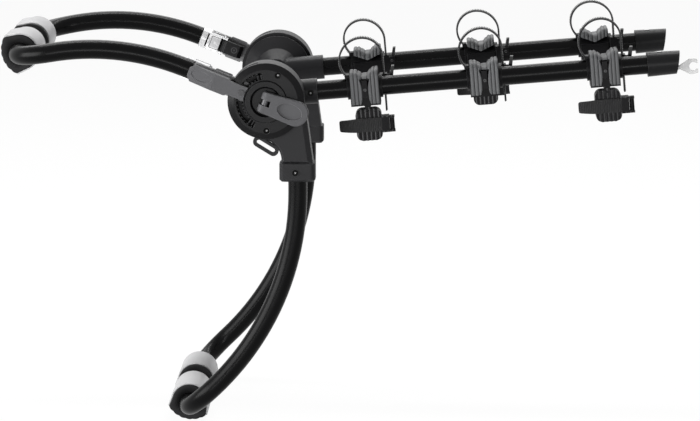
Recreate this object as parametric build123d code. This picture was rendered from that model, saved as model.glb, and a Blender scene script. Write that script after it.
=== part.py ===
"""Hanging trunk rack for three bicycles: two U frames that turn on a pair of hubs, and two folding arms.

Millimetres, +X to the rear along the arms, +Y to the right side, +Z up. The model is drawn about the
hub axis and moved so that the origin lies between the lower pads, where they touch the car.
"""

from build123d import *
import math
import os

# Tubes and the places of the two frames and the two arms.
tube_diameter = 28.6
tube_wall = 1.8
leg_spacing = 358.0
arm_spacing = 262.0
corner_radius = 57.0

# Fits. Running fits turn, seats stay, side gaps part faces that slide past each other.
running_gap = 0.06
seat_gap = 0.05
side_gap = 0.5
cut_overrun = 2.0

# Upper frame: angle of its leg roots, and the long bend.
upper_leg_angle = 158.6
upper_straight_past_rim = 76.0
upper_bend_radius = 372.0
upper_sweep_angle = 30.9
upper_turn_up_angle = 41.0
upper_turn_down_angle = 66.0

# Lower frame: its legs hang beside the hub axis.
lower_leg_offset = 46.2
lower_bend_drop = 140.2
lower_bend_radius = 419.0
lower_sweep_angle = 46.4

# Arms and what sits along them.
arm_rise_angle = 4.8
arm_tube_start = 22.0
arm_tube_reach = 602.0
first_cradle_reach = 146.3
last_cradle_inset = 95.7
bike_count = 3

# Hub housing. Outward sizes are measured from the leg plane.
hub_radius = 57.0
housing_back = 19.0
housing_front = 18.0
pocket_outer_radius = 47.0
pocket_inner_radius = 31.0
pocket_floor = 11.5
neck_bevel = 3.0
neck_inset = 3.5
neck_hollow_radius = 32.7
neck_hollow_rise = 4.0
neck_slope_angle = 24.0
neck_slope_width = 16.0
collar_width = 54.0
collar_height = 28.0
collar_drop_past_rim = 37.0
collar_corner = 8.0
collar_top_bevel = 1.2
socket_depth = 54.0
ear_length = 42.0
ear_height = 16.0
ear_thickness = 8.0
ear_front = 14.0
ear_slot_length = 31.0
ear_slot_width = 7.0
ear_distance_past_rim = 11.7
ear_place_angle = 269.4
ear_tilt_angle = -31.5

# Hub cover and the window in it.
cover_front = 26.0
cover_rim_front = 20.5
cover_bevel_width = 9.5
ring_outer_radius = 32.0
ring_front = 29.0
ring_round = 1.5
bowl_radius = 23.0
bowl_slope = 3.0
bowl_floor = 22.5
window_inner_radius = 33.5
window_outer_radius = 44.0
window_start_angle = 97.0
window_end_angle = 244.0
screw_circle_radius = 43.5
screw_angles = (65.0, 271.5)
screw_shank_radius = 2.5
screw_head_radius = 4.2
screw_head_height = 3.2
screw_length = 13.0
counterbore_depth = 4.0
counterbore_gap = 0.4

# Dial ring.
dial_start_angle = 80.0
dial_end_angle = 262.0
dial_thickness = 6.0
dial_slot_inner_radius = 35.6
dial_slot_outer_radius = 41.6
dial_tooth_count = 26
dial_tooth_width = 2.0
dial_tooth_depth = 2.6

# Upper bracket: disc, leaf and plug.
disc_radius = 30.0
disc_front = 15.0
leaf_back = 3.0
leaf_thickness = 8.0
leaf_half_width = 15.0
leaf_reach_past_rim = 60.8
web_start_past_rim = 47.0
web_half_width = 10.0
web_back = 2.0
plug_start_past_rim = 60.0
plug_reach_past_rim = 81.0
upper_tube_start_past_rim = 62.5
plug_gap = 0.1

# Side plate and its rivet.
plate_clearance = 0.6
plate_thickness = 4.0
plate_inner_radius = 33.2
plate_half_width = 10.5
shoe_start_past_rim = 2.5
shoe_reach_past_rim = 59.5
shoe_top_width = 12.0
shoe_bottom_width = 13.5
shoe_nose_past_rim = 66.0
shoe_nose_back = 17.2
shoe_nose_front = 21.5
shoe_recess_depth = 1.0
shoe_recess_length = 32.0
shoe_recess_width = 15.0
shoe_recess_place_past_rim = 61.5
shoe_slope_start_past_rim = 27.0
rivet_circle_radius = 38.6
rivet_radius = 2.5
rivet_head_radius = 4.4
rivet_head_height = 1.8
rivet_seat_depth = 5.0

# Strap buckle on the leg root.
band_start_past_rim = 61.0
band_width = 14.0
band_wall = 2.1
webbing_slot_inset = 2.6
webbing_slot_width = 2.4
webbing_slot_half_length = 11.0
frame_start_past_rim = 43.0
frame_ear_start_past_rim = 33.5
frame_back = 15.5
frame_plate = 2.6
frame_half_width = 13.2
frame_wall = 2.6
frame_front = 2.4
buckle_pin_place_past_rim = 38.0
buckle_pin_back = 8.0
buckle_pin_radius = 2.5
buckle_pin_half_length = 15.0
cam_nose_past_rim = 5.0
cam_half_width = 10.1
cam_hub_radius = 5.0
cam_back = 15.0
cam_lift = 0.5
cam_nose_corner = 6.0

# Hub axle, lever and its pin.
axle_radius = 6.0
axle_head_radius = 10.0
axle_head_height = 6.0
eye_half_thickness = 4.0
eye_base = 22.6
lever_pin_front = 32.0
lever_pin_radius = 2.5
lever_pin_half_length = 13.5
lever_angle = -20.0
lever_cam_radius = 8.5
lever_root_width = 31.0
lever_tip_radius = 19.0
lever_reach = 66.5
lever_under = 2.4
lever_root_top = 8.0
lever_tip_top = 5.0
lever_slot_reach = 7.2
lever_slot_gap = 0.5
thumb_length = 38.0
thumb_width = 23.0
thumb_depth = 1.8
thumb_place = 38.0
lever_round = 1.6

# Arm bracket and its screw, measured outward from the arm plane.
arm_disc_radius = 52.0
arm_disc_front = 28.5
arm_disc_rim = 5.0
dome_steps = ((44.0, 17.0), (34.0, 9.0), (27.0, -4.0), (20.0, -15.0))
dome_back = 19.0
socket_wall = 4.7
arm_socket_reach = 75.0
arm_screw_place = 65.0
arm_screw_shank = 4.4

# Arm cap.
cap_overlap = 31.5
cap_length = 50.0
cap_root_radius = 18.6
cap_end_radius = 17.2
cap_slant_angle = 11.0
cap_end_wall = 6.0
cap_notch_width = 7.0
cap_notch_depth = 3.0
cap_notch_inset = 19.0

# Lock cable, fork and lock core.
cable_drop = 8.0
cable_radius = 2.8
cable_start = 116.0
cable_inset = 12.0
cable_hole_gap = 1.4
fork_neck = 17.0
fork_point = 1.2
ferrule_radius = 3.8
ferrule_length = 16.0
fork_height = 23.0
fork_thickness = 3.0
fork_hole_radius = 6.3
fork_stand_off = 37.5
fork_mouth = 8.6
core_radius = 7.0
core_head_radius = 9.0
core_head_height = 3.0
core_length = 22.0
keyway_width = 1.6
keyway_height = 7.0
keyway_depth = 4.0

# Cradle base, about the arm's axis.
ring_wall = 3.0
ring_half_length = 26.5
base_half_length = 22.4
base_drop = 26.5
base_outer = 16.5
base_inner = 23.0
base_inner_top = 5.0
base_corner = 5.0
boss_half_width = 4.0
boss_out = 24.0
boss_half_height = 13.0
lug_start = -29.0
lug_end = -22.0
lug_top = 20.5

# Cradle pad.
pad_half_length = 21.4
pad_half_width = 25.0
pad_outer_drop = 23.0
pad_skirt_height = 7.0
pad_shoulder = 9.0
vee_height = 19.4
vee_left_height = 25.4
vee_right_height = 28.4
peak_flat = 5.0
pad_gap_top = 13.0
pad_gap_half_top = 4.4
pad_gap_half_bottom = 7.5

# Cradle strap: a loop whose ends are offset across the arm.
loop_place = -3.0
loop_height = 40.0
loop_radius = 32.6
strap_thickness = 2.6
strap_width = 17.0
strap_start_angle = 223.0
strap_tail_drop = 41.0
strap_left_offset = 2.0
strap_right_offset = 24.6
strap_lean = 0.12
strap_level = 8.0

# Ratchet buckle beside the arm, and its lever.
buckle_start = 23.0
buckle_reach = 34.0
buckle_half_height = 15.0
buckle_inner = 35.4
buckle_outer = 15.0
strap_slot_gap = 0.4
ear_reach = 43.0
ear_half_height = 6.0
ear_width = 3.4
ratchet_place = 38.6
ratchet_height = 6.0
trunnion_radius = 2.0
ratchet_hub_radius = 3.8
ratchet_tip_place = 43.6
ratchet_tip_height = 26.0
ratchet_thickness = 4.4

# Anti-sway cage below a cradle.
sway_place = 2.0
sway_pivot_drop = 31.3
sway_pivot_radius = 2.5
sway_hub_radius = 4.2
sway_lug_width = 4.0
sway_lug_spread = 8.0
sway_lug_half_length = 4.6
cage_half_length = 19.5
cage_top_drop = 32.0
cage_bottom_drop = 80.0
cage_corner = 10.0
cage_back = 10.0
cage_front = 14.0
cage_neck_half_length = 8.0
groove_count = 5
groove_width = 3.4
groove_depth = 2.0
sway_strap_drop = 56.0
sway_strap_height = 18.0
sway_strap_thickness = 2.4
sway_strap_left = -18.0
sway_tail_reach = -44.0
sway_tail_back = 5.0
sway_buckle_reach = 33.0
sway_buckle_back = 2.0
sway_buckle_front = 19.4
sway_lever_place = 37.0
sway_lever_front = 15.0
sway_lever_half_height = 9.0
sway_lever_length = 15.0
sway_lever_thickness = 4.6
sway_lever_hub_radius = 3.6
sway_trunnion_radius = 1.6
sway_trunnion_reach = 3.0
sway_fork_reach = 41.0
sway_fork_height = 3.0

# Pads of both frames.
pad_length = 88.0
pad_centre_gap = 40.0
pad_corner_half = 29.5
pad_corner_depth = 14.5
pad_contact_depth = 27.5
pad_back_radius = 27.5
pad_scallops = 6
pad_scallop_rise = 0.9
sleeve_thickness = 1.6
upper_contact_angle = 198.0
lower_contact_angle = 256.0

tube_radius = tube_diameter / 2
bike_pitch = (arm_tube_reach - last_cradle_inset - first_cradle_reach) / (bike_count - 1)
web_start = hub_radius + web_start_past_rim
leaf_reach = hub_radius + leaf_reach_past_rim
plug_start = hub_radius + plug_start_past_rim
plug_reach = hub_radius + plug_reach_past_rim
upper_tube_start = hub_radius + upper_tube_start_past_rim
upper_straight = hub_radius + upper_straight_past_rim
shoe_start = hub_radius + shoe_start_past_rim
shoe_reach = hub_radius + shoe_reach_past_rim
shoe_nose = hub_radius + shoe_nose_past_rim
shoe_recess_place = hub_radius + shoe_recess_place_past_rim
shoe_slope_start = hub_radius + shoe_slope_start_past_rim
band_start = hub_radius + band_start_past_rim
frame_start = hub_radius + frame_start_past_rim
frame_ear_start = hub_radius + frame_ear_start_past_rim
buckle_pin_place = hub_radius + buckle_pin_place_past_rim
cam_nose = hub_radius + cam_nose_past_rim
collar_drop = hub_radius + collar_drop_past_rim
ear_distance = hub_radius + ear_distance_past_rim
cap_start = arm_tube_reach - cap_overlap
cap_notch_place = arm_tube_reach - cap_notch_inset + cap_notch_width / 2
cable_end = arm_tube_reach + cable_inset
fork_hole_place = arm_tube_reach + fork_stand_off
leg_plane = leg_spacing / 2
arm_plane = arm_spacing / 2
arm_ring_radius = tube_radius + seat_gap + ring_wall
leaf_front = leaf_back + leaf_thickness
housing_depth = housing_back + housing_front
plate_back = cover_front + plate_clearance
plate_front = plate_back + plate_thickness
strap_right_place = loop_place + loop_radius


def polar(radius, angle):
    """Point at a radius and an angle in degrees."""
    turn = math.radians(angle)
    return (radius * math.cos(turn), radius * math.sin(turn))


def outline(*points):
    """Closed face through the points."""
    return make_face(Polyline(*points, close=True))


def block(low, high):
    """Box between two corners."""
    size = [far - near for near, far in zip(low, high)]
    middle = [(far + near) / 2 for near, far in zip(low, high)]
    return Pos(*middle) * Box(*size)


def ring_sector(inner, outer, start_angle, end_angle):
    """Face between two arcs about the origin."""
    sweep_angle = end_angle - start_angle
    near_start, near_end = polar(inner, start_angle), polar(inner, end_angle)
    far_start, far_end = polar(outer, start_angle), polar(outer, end_angle)
    return make_face(
        [
            CenterArc((0, 0), inner, start_angle, sweep_angle),
            Line(near_end, far_end),
            CenterArc((0, 0), outer, start_angle, sweep_angle),
            Line(far_start, near_start),
        ]
    )


def plate(face, back, front):
    """Face in the side view carried outward from back to front."""
    return Pos(0, 0, back) * extrude(face, front - back)


def rod(radius, back, front):
    """Round bar about the outward axis."""
    return plate(Circle(radius), back, front)


def along_x(radius, start, end):
    """Round bar along X."""
    return Pos(start, 0, 0) * (Plane.YZ * extrude(Circle(radius), end - start))


def along_y(radius, half_length):
    """Round bar along local Y, centred."""
    return Pos(0, half_length, 0) * (Plane.XZ * extrude(Circle(radius), half_length * 2))


def at_hub(shape):
    """Stand a piece that was drawn in the side view in the left leg's plane."""
    return Plane.XZ.offset(leg_plane) * shape


def at_leg(shape):
    """The same, for a piece drawn along the upper leg."""
    return at_hub(Rot(0, 0, upper_leg_angle) * shape)


def at_arm(shape):
    """Stand a piece that was drawn along the arm in the left arm's plane."""
    return Plane.XZ.offset(arm_plane) * (Rot(0, 0, arm_rise_angle) * shape)


def frame_path(start, heading_angle, straight, radius, sweep_angle):
    """Centreline of a U frame, and the place of its cross tube in the side view.

    Each leg is a straight root, one long bend and a corner into the cross tube. A positive sweep
    turns from X towards Z.
    """
    side = 1 if sweep_angle > 0 else -1
    first = Vector(start[0], -leg_plane, start[1])
    root = side_direction(heading_angle)
    last = side_direction(heading_angle + sweep_angle)
    bend_start = first + root * straight
    centre = bend_start + side_direction(heading_angle + 90 * side) * radius
    bend_end = centre + side_direction(heading_angle + sweep_angle - 90 * side) * radius
    corner = bend_end + last * corner_radius
    cross_start = corner + Vector(0, corner_radius, 0)
    spots = [first, bend_start, bend_end, cross_start]
    far = [Vector(spot.X, -spot.Y, spot.Z) for spot in spots]
    path = Wire([
        Line(spots[0], spots[1]),
        TangentArc(spots[1], spots[2], tangent=root),
        TangentArc(spots[2], spots[3], tangent=last),
        Line(spots[3], far[3]),
        TangentArc(far[2], far[3], tangent=last),
        TangentArc(far[1], far[2], tangent=root),
        Line(far[0], far[1]),
    ])
    return path, first, root, (corner.X, corner.Z)


def side_direction(angle):
    """Unit direction in the side view."""
    across, up = polar(1, angle)
    return Vector(across, 0, up)


def bent_tube(path, first, root):
    """Hollow tube along a frame's centreline."""
    section = Plane(origin=first, z_dir=root)
    outer = sweep(section * Circle(tube_radius), path=path)
    inner = sweep(section * Circle(tube_radius - tube_wall), path=path)
    return outer - inner


def screw(place_x, place_y, head_back):
    """Pan-head screw driven inward, its head standing on head_back."""
    head = rod(screw_head_radius, head_back, head_back + screw_head_height)
    socket = plate(RegularPolygon(screw_shank_radius, bike_count * 2), head_back + screw_head_height / 2,
                   head_back + screw_head_height + cut_overrun)
    shank = rod(screw_shank_radius, head_back - screw_length, head_back)
    return Pos(place_x, place_y, 0) * (head + shank - socket)


def leaf_sweep_face(half_width, reach):
    """Side view of the space that the leaf sweeps between its two stops."""
    high = upper_leg_angle - upper_turn_up_angle
    low = upper_leg_angle + upper_turn_down_angle
    face = ring_sector(half_width, reach, high, low)
    for angle in (high, low):
        face += Rot(0, 0, angle) * (Pos(reach / 2, 0) * Rectangle(reach, half_width * 2))
    return face


def hub_casting():
    """Housing, neck, socket collar and strap ear of one hub."""
    collar_left = lower_leg_offset - collar_width / 2
    collar_right = lower_leg_offset + collar_width / 2
    body = rod(hub_radius, -housing_back, housing_front)
    hollow = collar_left + neck_inset - neck_hollow_radius
    neck_right = collar_right - neck_inset
    side = outline((0, 0), (hub_radius, 0), (neck_right, -collar_drop), (hollow, -collar_drop), (hollow, 0))
    side -= Pos(hollow, neck_hollow_rise - collar_drop) * Circle(neck_hollow_radius)
    neck = plate(side, -housing_back, housing_front)
    neck = chamfer(neck.edges().group_by(Axis.Z)[-1], neck_bevel)
    lean = math.atan2(neck_right - hub_radius, collar_drop)
    slope = Rot(0, 0, math.degrees(lean)) * Rot(0, neck_slope_angle, 0)
    slope *= Pos(0, 0, hub_radius / 2) * Box(collar_width, hub_radius * 4, hub_radius)
    neck -= Pos((hub_radius + neck_right) / 2 - neck_slope_width / 2, -collar_drop / 2, housing_front) * slope
    round_bar = RectangleRounded(collar_width, housing_back * 2, collar_corner)
    collar = Pos(lower_leg_offset, -collar_drop, 0) * (Plane.XZ * extrude(round_bar, collar_height))
    collar = chamfer(collar.edges().group_by(Axis.Y)[0], neck_bevel)
    collar = chamfer(collar.edges().group_by(Axis.Y)[-1], collar_top_bevel)
    ear_place = polar(ear_distance, ear_place_angle)
    ear_spot = Pos(*ear_place) * Rot(0, 0, ear_tilt_angle)
    ear = plate(ear_spot * SlotOverall(ear_length, ear_height), ear_front - ear_thickness, ear_front)
    slot = plate(ear_spot * SlotOverall(ear_slot_length, ear_slot_width), -housing_back, housing_front + cut_overrun)
    casting = body + neck + collar + ear
    sector = ring_sector(pocket_inner_radius, pocket_outer_radius, dial_start_angle - seat_gap,
                         dial_end_angle + seat_gap)
    casting -= plate(sector, pocket_floor, housing_front + cut_overrun)
    casting -= rod(pocket_inner_radius + seat_gap, leaf_back - side_gap, housing_front + cut_overrun)
    leaf_space = leaf_sweep_face(leaf_half_width + side_gap, hub_radius + cut_overrun)
    casting -= plate(leaf_space, leaf_back - side_gap, leaf_front + side_gap)
    casting -= rod(axle_radius + seat_gap, -housing_back - cut_overrun, housing_front)
    bottom = collar_drop + collar_height
    bore = Plane.XZ * extrude(Circle(tube_radius + seat_gap), socket_depth + cut_overrun)
    casting -= Pos(lower_leg_offset, socket_depth - bottom, 0) * bore
    casting -= slot
    for angle in screw_angles:
        casting -= Pos(*polar(screw_circle_radius, angle)) * rod(
            screw_shank_radius + seat_gap, housing_front - screw_length, housing_front + cut_overrun)
    collar_screw = Pos(lower_leg_offset - neck_bevel, -collar_drop - collar_height / 2)
    casting -= collar_screw * rod(screw_shank_radius + seat_gap, tube_radius, housing_front + cut_overrun)
    return casting


def hub_cover():
    """Bevelled face disc with the raised ring, the bowl, the window and the screw seats."""
    hole = axle_radius + seat_gap
    edge = [
        (hole, housing_front),
        (hub_radius, housing_front),
        (hub_radius, cover_rim_front),
        (hub_radius - cover_bevel_width, cover_front),
        (ring_outer_radius, cover_front),
        (ring_outer_radius - ring_round, ring_front),
        (bowl_radius, ring_front),
        (bowl_radius - bowl_slope, bowl_floor),
        (hole, bowl_floor),
    ]
    cover = revolve(Plane.XZ * outline(*edge), axis=Axis.Z)
    window = ring_sector(window_inner_radius, window_outer_radius, window_start_angle, window_end_angle)
    cover -= plate(window, housing_front - cut_overrun, ring_front)
    for angle in screw_angles:
        spot = Pos(*polar(screw_circle_radius, angle))
        cover -= spot * rod(screw_shank_radius + seat_gap, housing_front - cut_overrun, ring_front)
        cover -= spot * rod(screw_head_radius + counterbore_gap, cover_front - counterbore_depth, ring_front)
    return cover


def dial_ring():
    """Fixed toothed sector behind the window, slotted for the pointer rivet."""
    face = ring_sector(pocket_inner_radius + seat_gap, pocket_outer_radius - seat_gap, dial_start_angle,
                       dial_end_angle)
    travel_start = upper_leg_angle - upper_turn_up_angle
    travel_end = upper_leg_angle + upper_turn_down_angle
    face -= ring_sector(dial_slot_inner_radius, dial_slot_outer_radius, travel_start, travel_end)
    slot_radius = (dial_slot_inner_radius + dial_slot_outer_radius) / 2
    slot_half_width = (dial_slot_outer_radius - dial_slot_inner_radius) / 2
    for angle in (travel_start, travel_end):
        face -= Pos(*polar(slot_radius, angle)) * Circle(slot_half_width)
    step = (window_end_angle - window_start_angle) / dial_tooth_count
    ring = plate(face, pocket_floor, pocket_floor + dial_thickness)
    notches = Sketch()
    for index in range(dial_tooth_count):
        spot = Rot(0, 0, window_start_angle + step * (index + 0.5)) * Pos(window_outer_radius, 0)
        notches += spot * Rectangle(dial_tooth_depth, dial_tooth_width)
    top = pocket_floor + dial_thickness
    return ring - plate(notches, top - dial_thickness / 2, top + cut_overrun)


def hub_axle():
    """Long bolt: round head inside the arm, shank through the hub, flat eye outside."""
    inner_face = leg_plane - arm_plane + dome_back
    head = rod(axle_head_radius, -inner_face, -inner_face + axle_head_height)
    shank = rod(axle_radius, -inner_face, eye_base)
    side = Pos(0, (lever_pin_front + eye_base) / 2) * Rectangle(axle_radius * 2, lever_pin_front - eye_base)
    side += Pos(0, lever_pin_front) * Circle(axle_radius)
    eye = Pos(0, eye_half_thickness, 0) * (Plane.XZ * extrude(side, eye_half_thickness * 2))
    eye -= Pos(0, 0, lever_pin_front) * along_y(lever_pin_radius + seat_gap, axle_radius)
    return Rot(0, 0, lever_angle) * (head + shank + eye)


def lever_pin():
    """Cross pin of the hub lever."""
    return Rot(0, 0, lever_angle) * (Pos(0, 0, lever_pin_front) * along_y(lever_pin_radius, lever_pin_half_length))


def hub_lever():
    """Cam lever: forked root round the eye, wide rounded tip with a thumb hollow."""
    half_root = lever_root_width / 2
    tip_place = lever_reach - lever_tip_radius
    plan = outline(
        (-lever_cam_radius, -half_root + neck_bevel),
        (-lever_cam_radius + neck_bevel, -half_root),
        (tip_place, -lever_tip_radius),
        (tip_place, lever_tip_radius),
        (-lever_cam_radius + neck_bevel, half_root),
        (-lever_cam_radius, half_root - neck_bevel),
    )
    plan += Pos(tip_place, 0) * Circle(lever_tip_radius)
    under = lever_pin_front - lever_under
    side = Pos(0, lever_pin_front) * Circle(lever_cam_radius)
    side += outline(
        (0, under),
        (lever_reach, under),
        (lever_reach, lever_pin_front + lever_tip_top),
        (0, lever_pin_front + lever_cam_radius),
    )
    half_depth = lever_tip_radius + cut_overrun
    slab = Pos(0, half_depth, 0) * (Plane.XZ * extrude(side, half_depth * 2))
    lever = plate(plan, 0, lever_pin_front * 2) & slab
    lever = fillet(lever.edges().filter_by(lambda edge: edge.center().Z > lever_pin_front
                                           and edge.center().X > lever_cam_radius
                                           and edge.length > lever_tip_radius), lever_round)
    slot = Pos(lever_slot_reach / 2 - lever_cam_radius, 0) * Rectangle(
        lever_slot_reach + lever_cam_radius * 2, (eye_half_thickness + lever_slot_gap) * 2)
    lever -= plate(slot, 0, lever_pin_front * 2)
    lever -= Pos(0, 0, lever_pin_front) * along_y(lever_pin_radius + running_gap, half_depth)
    lever -= plate(Pos(thumb_place, 0) * Ellipse(thumb_length / 2, thumb_width / 2),
                   lever_pin_front + lever_tip_top - thumb_depth + running_gap, lever_pin_front * 2)
    return Rot(0, 0, lever_angle) * lever


def upper_bracket():
    """Disc in the hub, leaf through the rim slot and plug in the leg, along the leg."""
    bracket = rod(disc_radius, leaf_back, disc_front)
    bracket += block((0, -leaf_half_width, leaf_back), (leaf_reach, leaf_half_width, leaf_front))
    bracket += block((web_start, -web_half_width, -web_back), (leaf_reach, web_half_width, leaf_front))
    bracket += along_x(tube_radius - tube_wall - plug_gap, plug_start, plug_reach)
    bracket -= rod(axle_radius + running_gap, -housing_back, housing_front)
    hole = rod(rivet_radius + seat_gap, leaf_front - rivet_seat_depth - seat_gap, leaf_front + cut_overrun)
    return bracket - Pos(rivet_circle_radius, 0, 0) * hole


def side_plate():
    """Grey shoe outside the leg root, running over the hub to the pointer rivet."""
    slope = outline(
        (shoe_start, leaf_front),
        (shoe_reach, leaf_front),
        (shoe_reach, shoe_nose_back),
        (shoe_nose, shoe_nose_back),
        (shoe_nose, shoe_nose_front),
        (shoe_slope_start, plate_front),
        (0, plate_front),
        (0, plate_back),
        (shoe_start, plate_back),
    )
    shoe = Pos(0, shoe_bottom_width, 0) * (Plane.XZ * extrude(slope, shoe_top_width + shoe_bottom_width))
    corner = shoe_nose - shoe_bottom_width / 2
    plan = outline(
        (0, -plate_half_width),
        (shoe_start, -plate_half_width),
        (shoe_start + neck_bevel, -shoe_top_width),
        (corner, -shoe_top_width),
        (shoe_nose, -shoe_top_width / 2),
        (shoe_nose, shoe_bottom_width / 2),
        (corner, shoe_bottom_width),
        (shoe_start + neck_bevel, shoe_bottom_width),
        (shoe_start, plate_half_width),
        (0, plate_half_width),
    )
    shoe &= plate(plan, 0, plate_front + cut_overrun)
    shoe -= rod(plate_inner_radius, 0, plate_front + cut_overrun)
    shoe -= thumb_hollow()
    return shoe - Pos(rivet_circle_radius, 0, 0) * rod(rivet_radius + seat_gap, plate_back - cut_overrun,
                                                       plate_front + cut_overrun)


def thumb_hollow():
    """Shallow oval hollow that follows the slope of the shoe's outer face."""
    above = outline(
        (shoe_slope_start, plate_front - shoe_recess_depth),
        (shoe_nose, shoe_nose_front - shoe_recess_depth),
        (shoe_nose, plate_front + cut_overrun),
        (shoe_slope_start, plate_front + cut_overrun),
    )
    deep = Pos(0, shoe_bottom_width, 0) * (Plane.XZ * extrude(above, shoe_top_width + shoe_bottom_width))
    oval = Pos(shoe_recess_place - shoe_recess_length / 2, 0) * Ellipse(shoe_recess_length / 2, shoe_recess_width / 2)
    return deep & plate(oval, 0, plate_front + cut_overrun)


def plate_rivet():
    """Pointer rivet from the shoe through the window into the leaf."""
    shank = rod(rivet_radius, leaf_front - rivet_seat_depth, plate_front)
    head = rod(rivet_head_radius, plate_front, plate_front + rivet_head_height)
    return Pos(rivet_circle_radius, 0, 0) * (shank + head)


def strap_buckle():
    """Bright half band on the leg root's inner side, with the buckle frame that stands on it."""
    band_radius = tube_radius + seat_gap
    buckle = along_x(band_radius + band_wall, band_start, band_start + band_width)
    inner_half = frame_half_width - frame_wall
    frame = block((frame_start, -frame_half_width, -frame_back), (band_start + band_wall, frame_half_width,
                                                                  frame_plate - frame_back))
    for side in (-1, 1):
        wall_low, wall_high = sorted((side * inner_half, side * frame_half_width))
        frame += block((frame_ear_start, wall_low, -frame_back + frame_plate / 2),
                       (band_start + band_wall, wall_high, -frame_front))
    buckle += frame
    buckle -= along_x(band_radius, band_start - band_wall / 2, band_start + band_width + cut_overrun)
    buckle -= block((band_start - band_wall / 2, -band_radius * 2, -frame_front / 2),
                    (band_start + band_width * 2, band_radius * 2, band_radius * 2))
    slot_start = band_start + webbing_slot_inset
    buckle -= block((slot_start, -webbing_slot_half_length, -band_radius * 2),
                    (slot_start + webbing_slot_width, webbing_slot_half_length, 0))
    pin = along_y(buckle_pin_radius + seat_gap, buckle_pin_half_length)
    return buckle - Pos(buckle_pin_place, 0, -buckle_pin_back) * pin


def buckle_pin():
    """Pin that the buckle's cam turns on."""
    return Pos(buckle_pin_place, 0, -buckle_pin_back) * along_y(buckle_pin_radius, buckle_pin_half_length)


def buckle_cam():
    """Cam block between the buckle frame and the hub."""
    side = outline(
        (cam_nose + cam_nose_corner, leaf_back - cam_lift),
        (cam_nose, leaf_back - cam_lift - cam_nose_corner),
        (cam_nose, cam_nose_corner - cam_back),
        (cam_nose + cam_nose_corner, -cam_back),
        (buckle_pin_place - cam_hub_radius, -cam_back),
        (buckle_pin_place, -buckle_pin_back - cam_hub_radius),
        (buckle_pin_place, -buckle_pin_back + cam_hub_radius),
        (buckle_pin_place - cam_hub_radius, leaf_back - cam_lift),
    )
    side += Pos(buckle_pin_place, -buckle_pin_back) * Circle(cam_hub_radius)
    cam = Pos(0, cam_half_width, 0) * (Plane.XZ * extrude(side, cam_half_width * 2))
    hole = along_y(buckle_pin_radius + running_gap, buckle_pin_half_length)
    return cam - Pos(buckle_pin_place, 0, -buckle_pin_back) * hole


def arm_bracket():
    """Disc inside the hub whose dome flows into the arm's socket."""
    edge = [(0, arm_disc_front), (arm_disc_radius, arm_disc_front), (arm_disc_radius, arm_disc_front - arm_disc_rim)]
    edge += [(radius, height) for radius, height in dome_steps]
    edge += [(dome_steps[-1][0] / 2, -dome_back), (0, -dome_back)]
    bracket = revolve(Plane.XZ * outline(*edge), axis=Axis.Z)
    bracket += along_x(tube_radius + seat_gap + socket_wall, 0, arm_socket_reach)
    bracket -= along_x(tube_radius + seat_gap, arm_tube_start - side_gap, arm_socket_reach + cut_overrun)
    bracket -= rod(axle_radius + running_gap, -dome_back * 2, arm_disc_front + cut_overrun)
    bracket -= rod(axle_head_radius + running_gap, -dome_back * 2, axle_head_height + seat_gap - dome_back)
    screw_hole = rod(screw_shank_radius + seat_gap, tube_radius, tube_radius + socket_wall + cut_overrun)
    return bracket - Pos(arm_screw_place, 0, 0) * screw_hole


def arm_screw():
    """Screw that clamps the tube in its socket."""
    face = tube_radius + seat_gap + socket_wall
    head = rod(screw_head_radius, face, face + screw_head_height)
    head -= plate(RegularPolygon(screw_shank_radius, bike_count * 2), face + screw_head_height / 2,
                  face + screw_head_height + cut_overrun)
    shank = rod(screw_shank_radius, face - arm_screw_shank, face)
    return Pos(arm_screw_place, 0, 0) * (head + shank)


def collar_screw():
    """Screw in the socket collar."""
    face = housing_back
    head = rod(screw_head_radius, face, face + screw_head_height)
    head -= plate(RegularPolygon(screw_shank_radius, bike_count * 2), face + screw_head_height / 2,
                  face + screw_head_height + cut_overrun)
    shank = rod(screw_shank_radius, face - arm_screw_shank, face)
    return Pos(lower_leg_offset - neck_bevel, -collar_drop - collar_height / 2) * (head + shank)


def arm_tube():
    """Straight arm."""
    tube = along_x(tube_radius, arm_tube_start, arm_tube_reach)
    return tube - along_x(tube_radius - tube_wall, arm_tube_start - cut_overrun, arm_tube_reach + cut_overrun)


def arm_cap():
    """End cap, slightly tapered, with a slanted end and a hollow for the tube."""
    cap = Pos(cap_start, 0, 0) * (Plane.YZ * Cone(cap_root_radius, cap_end_radius, cap_length,
                                                  align=(Align.CENTER, Align.CENTER, Align.MIN)))
    wedge = block((0, -cap_root_radius * 2, -cap_root_radius * 2), (cap_length, cap_root_radius, cap_root_radius * 2))
    slant = Pos(cap_start + cap_length, cap_root_radius, 0) * Rot(0, 0, -cap_slant_angle)
    cap -= slant * wedge
    cap -= along_x(tube_radius + seat_gap, cap_start - cut_overrun, arm_tube_reach + seat_gap)
    notch = block((cap_notch_place, cap_root_radius - cap_notch_depth, -cap_notch_width),
                  (cap_notch_place + cap_notch_width, cap_root_radius * 2, cap_notch_width))
    return cap - notch


def left_cap():
    """Cap with the hole that the lock cable runs out of."""
    hole = along_x(cable_radius + cable_hole_gap, cap_start, cap_start + cap_length * 2)
    return arm_cap() - Pos(0, -cable_drop, 0) * hole


def right_cap():
    """Cap with the seat of the lock core."""
    return arm_cap() - along_x(core_radius + seat_gap, core_start(), cap_start + cap_length * 2)


def core_start():
    """Inner end of the lock core."""
    return cap_start + cap_length - core_length


def lock_core():
    """Key cylinder in the right cap, bare of any mark."""
    end = cap_start + cap_length + side_gap
    core = along_x(core_radius, core_start(), end) + along_x(core_head_radius, end, end + core_head_height)
    keyway = block((end + core_head_height - keyway_depth, -keyway_height / 2, -keyway_width / 2),
                   (end + core_head_height + cut_overrun, keyway_height / 2, keyway_width / 2))
    return core - keyway


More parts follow.
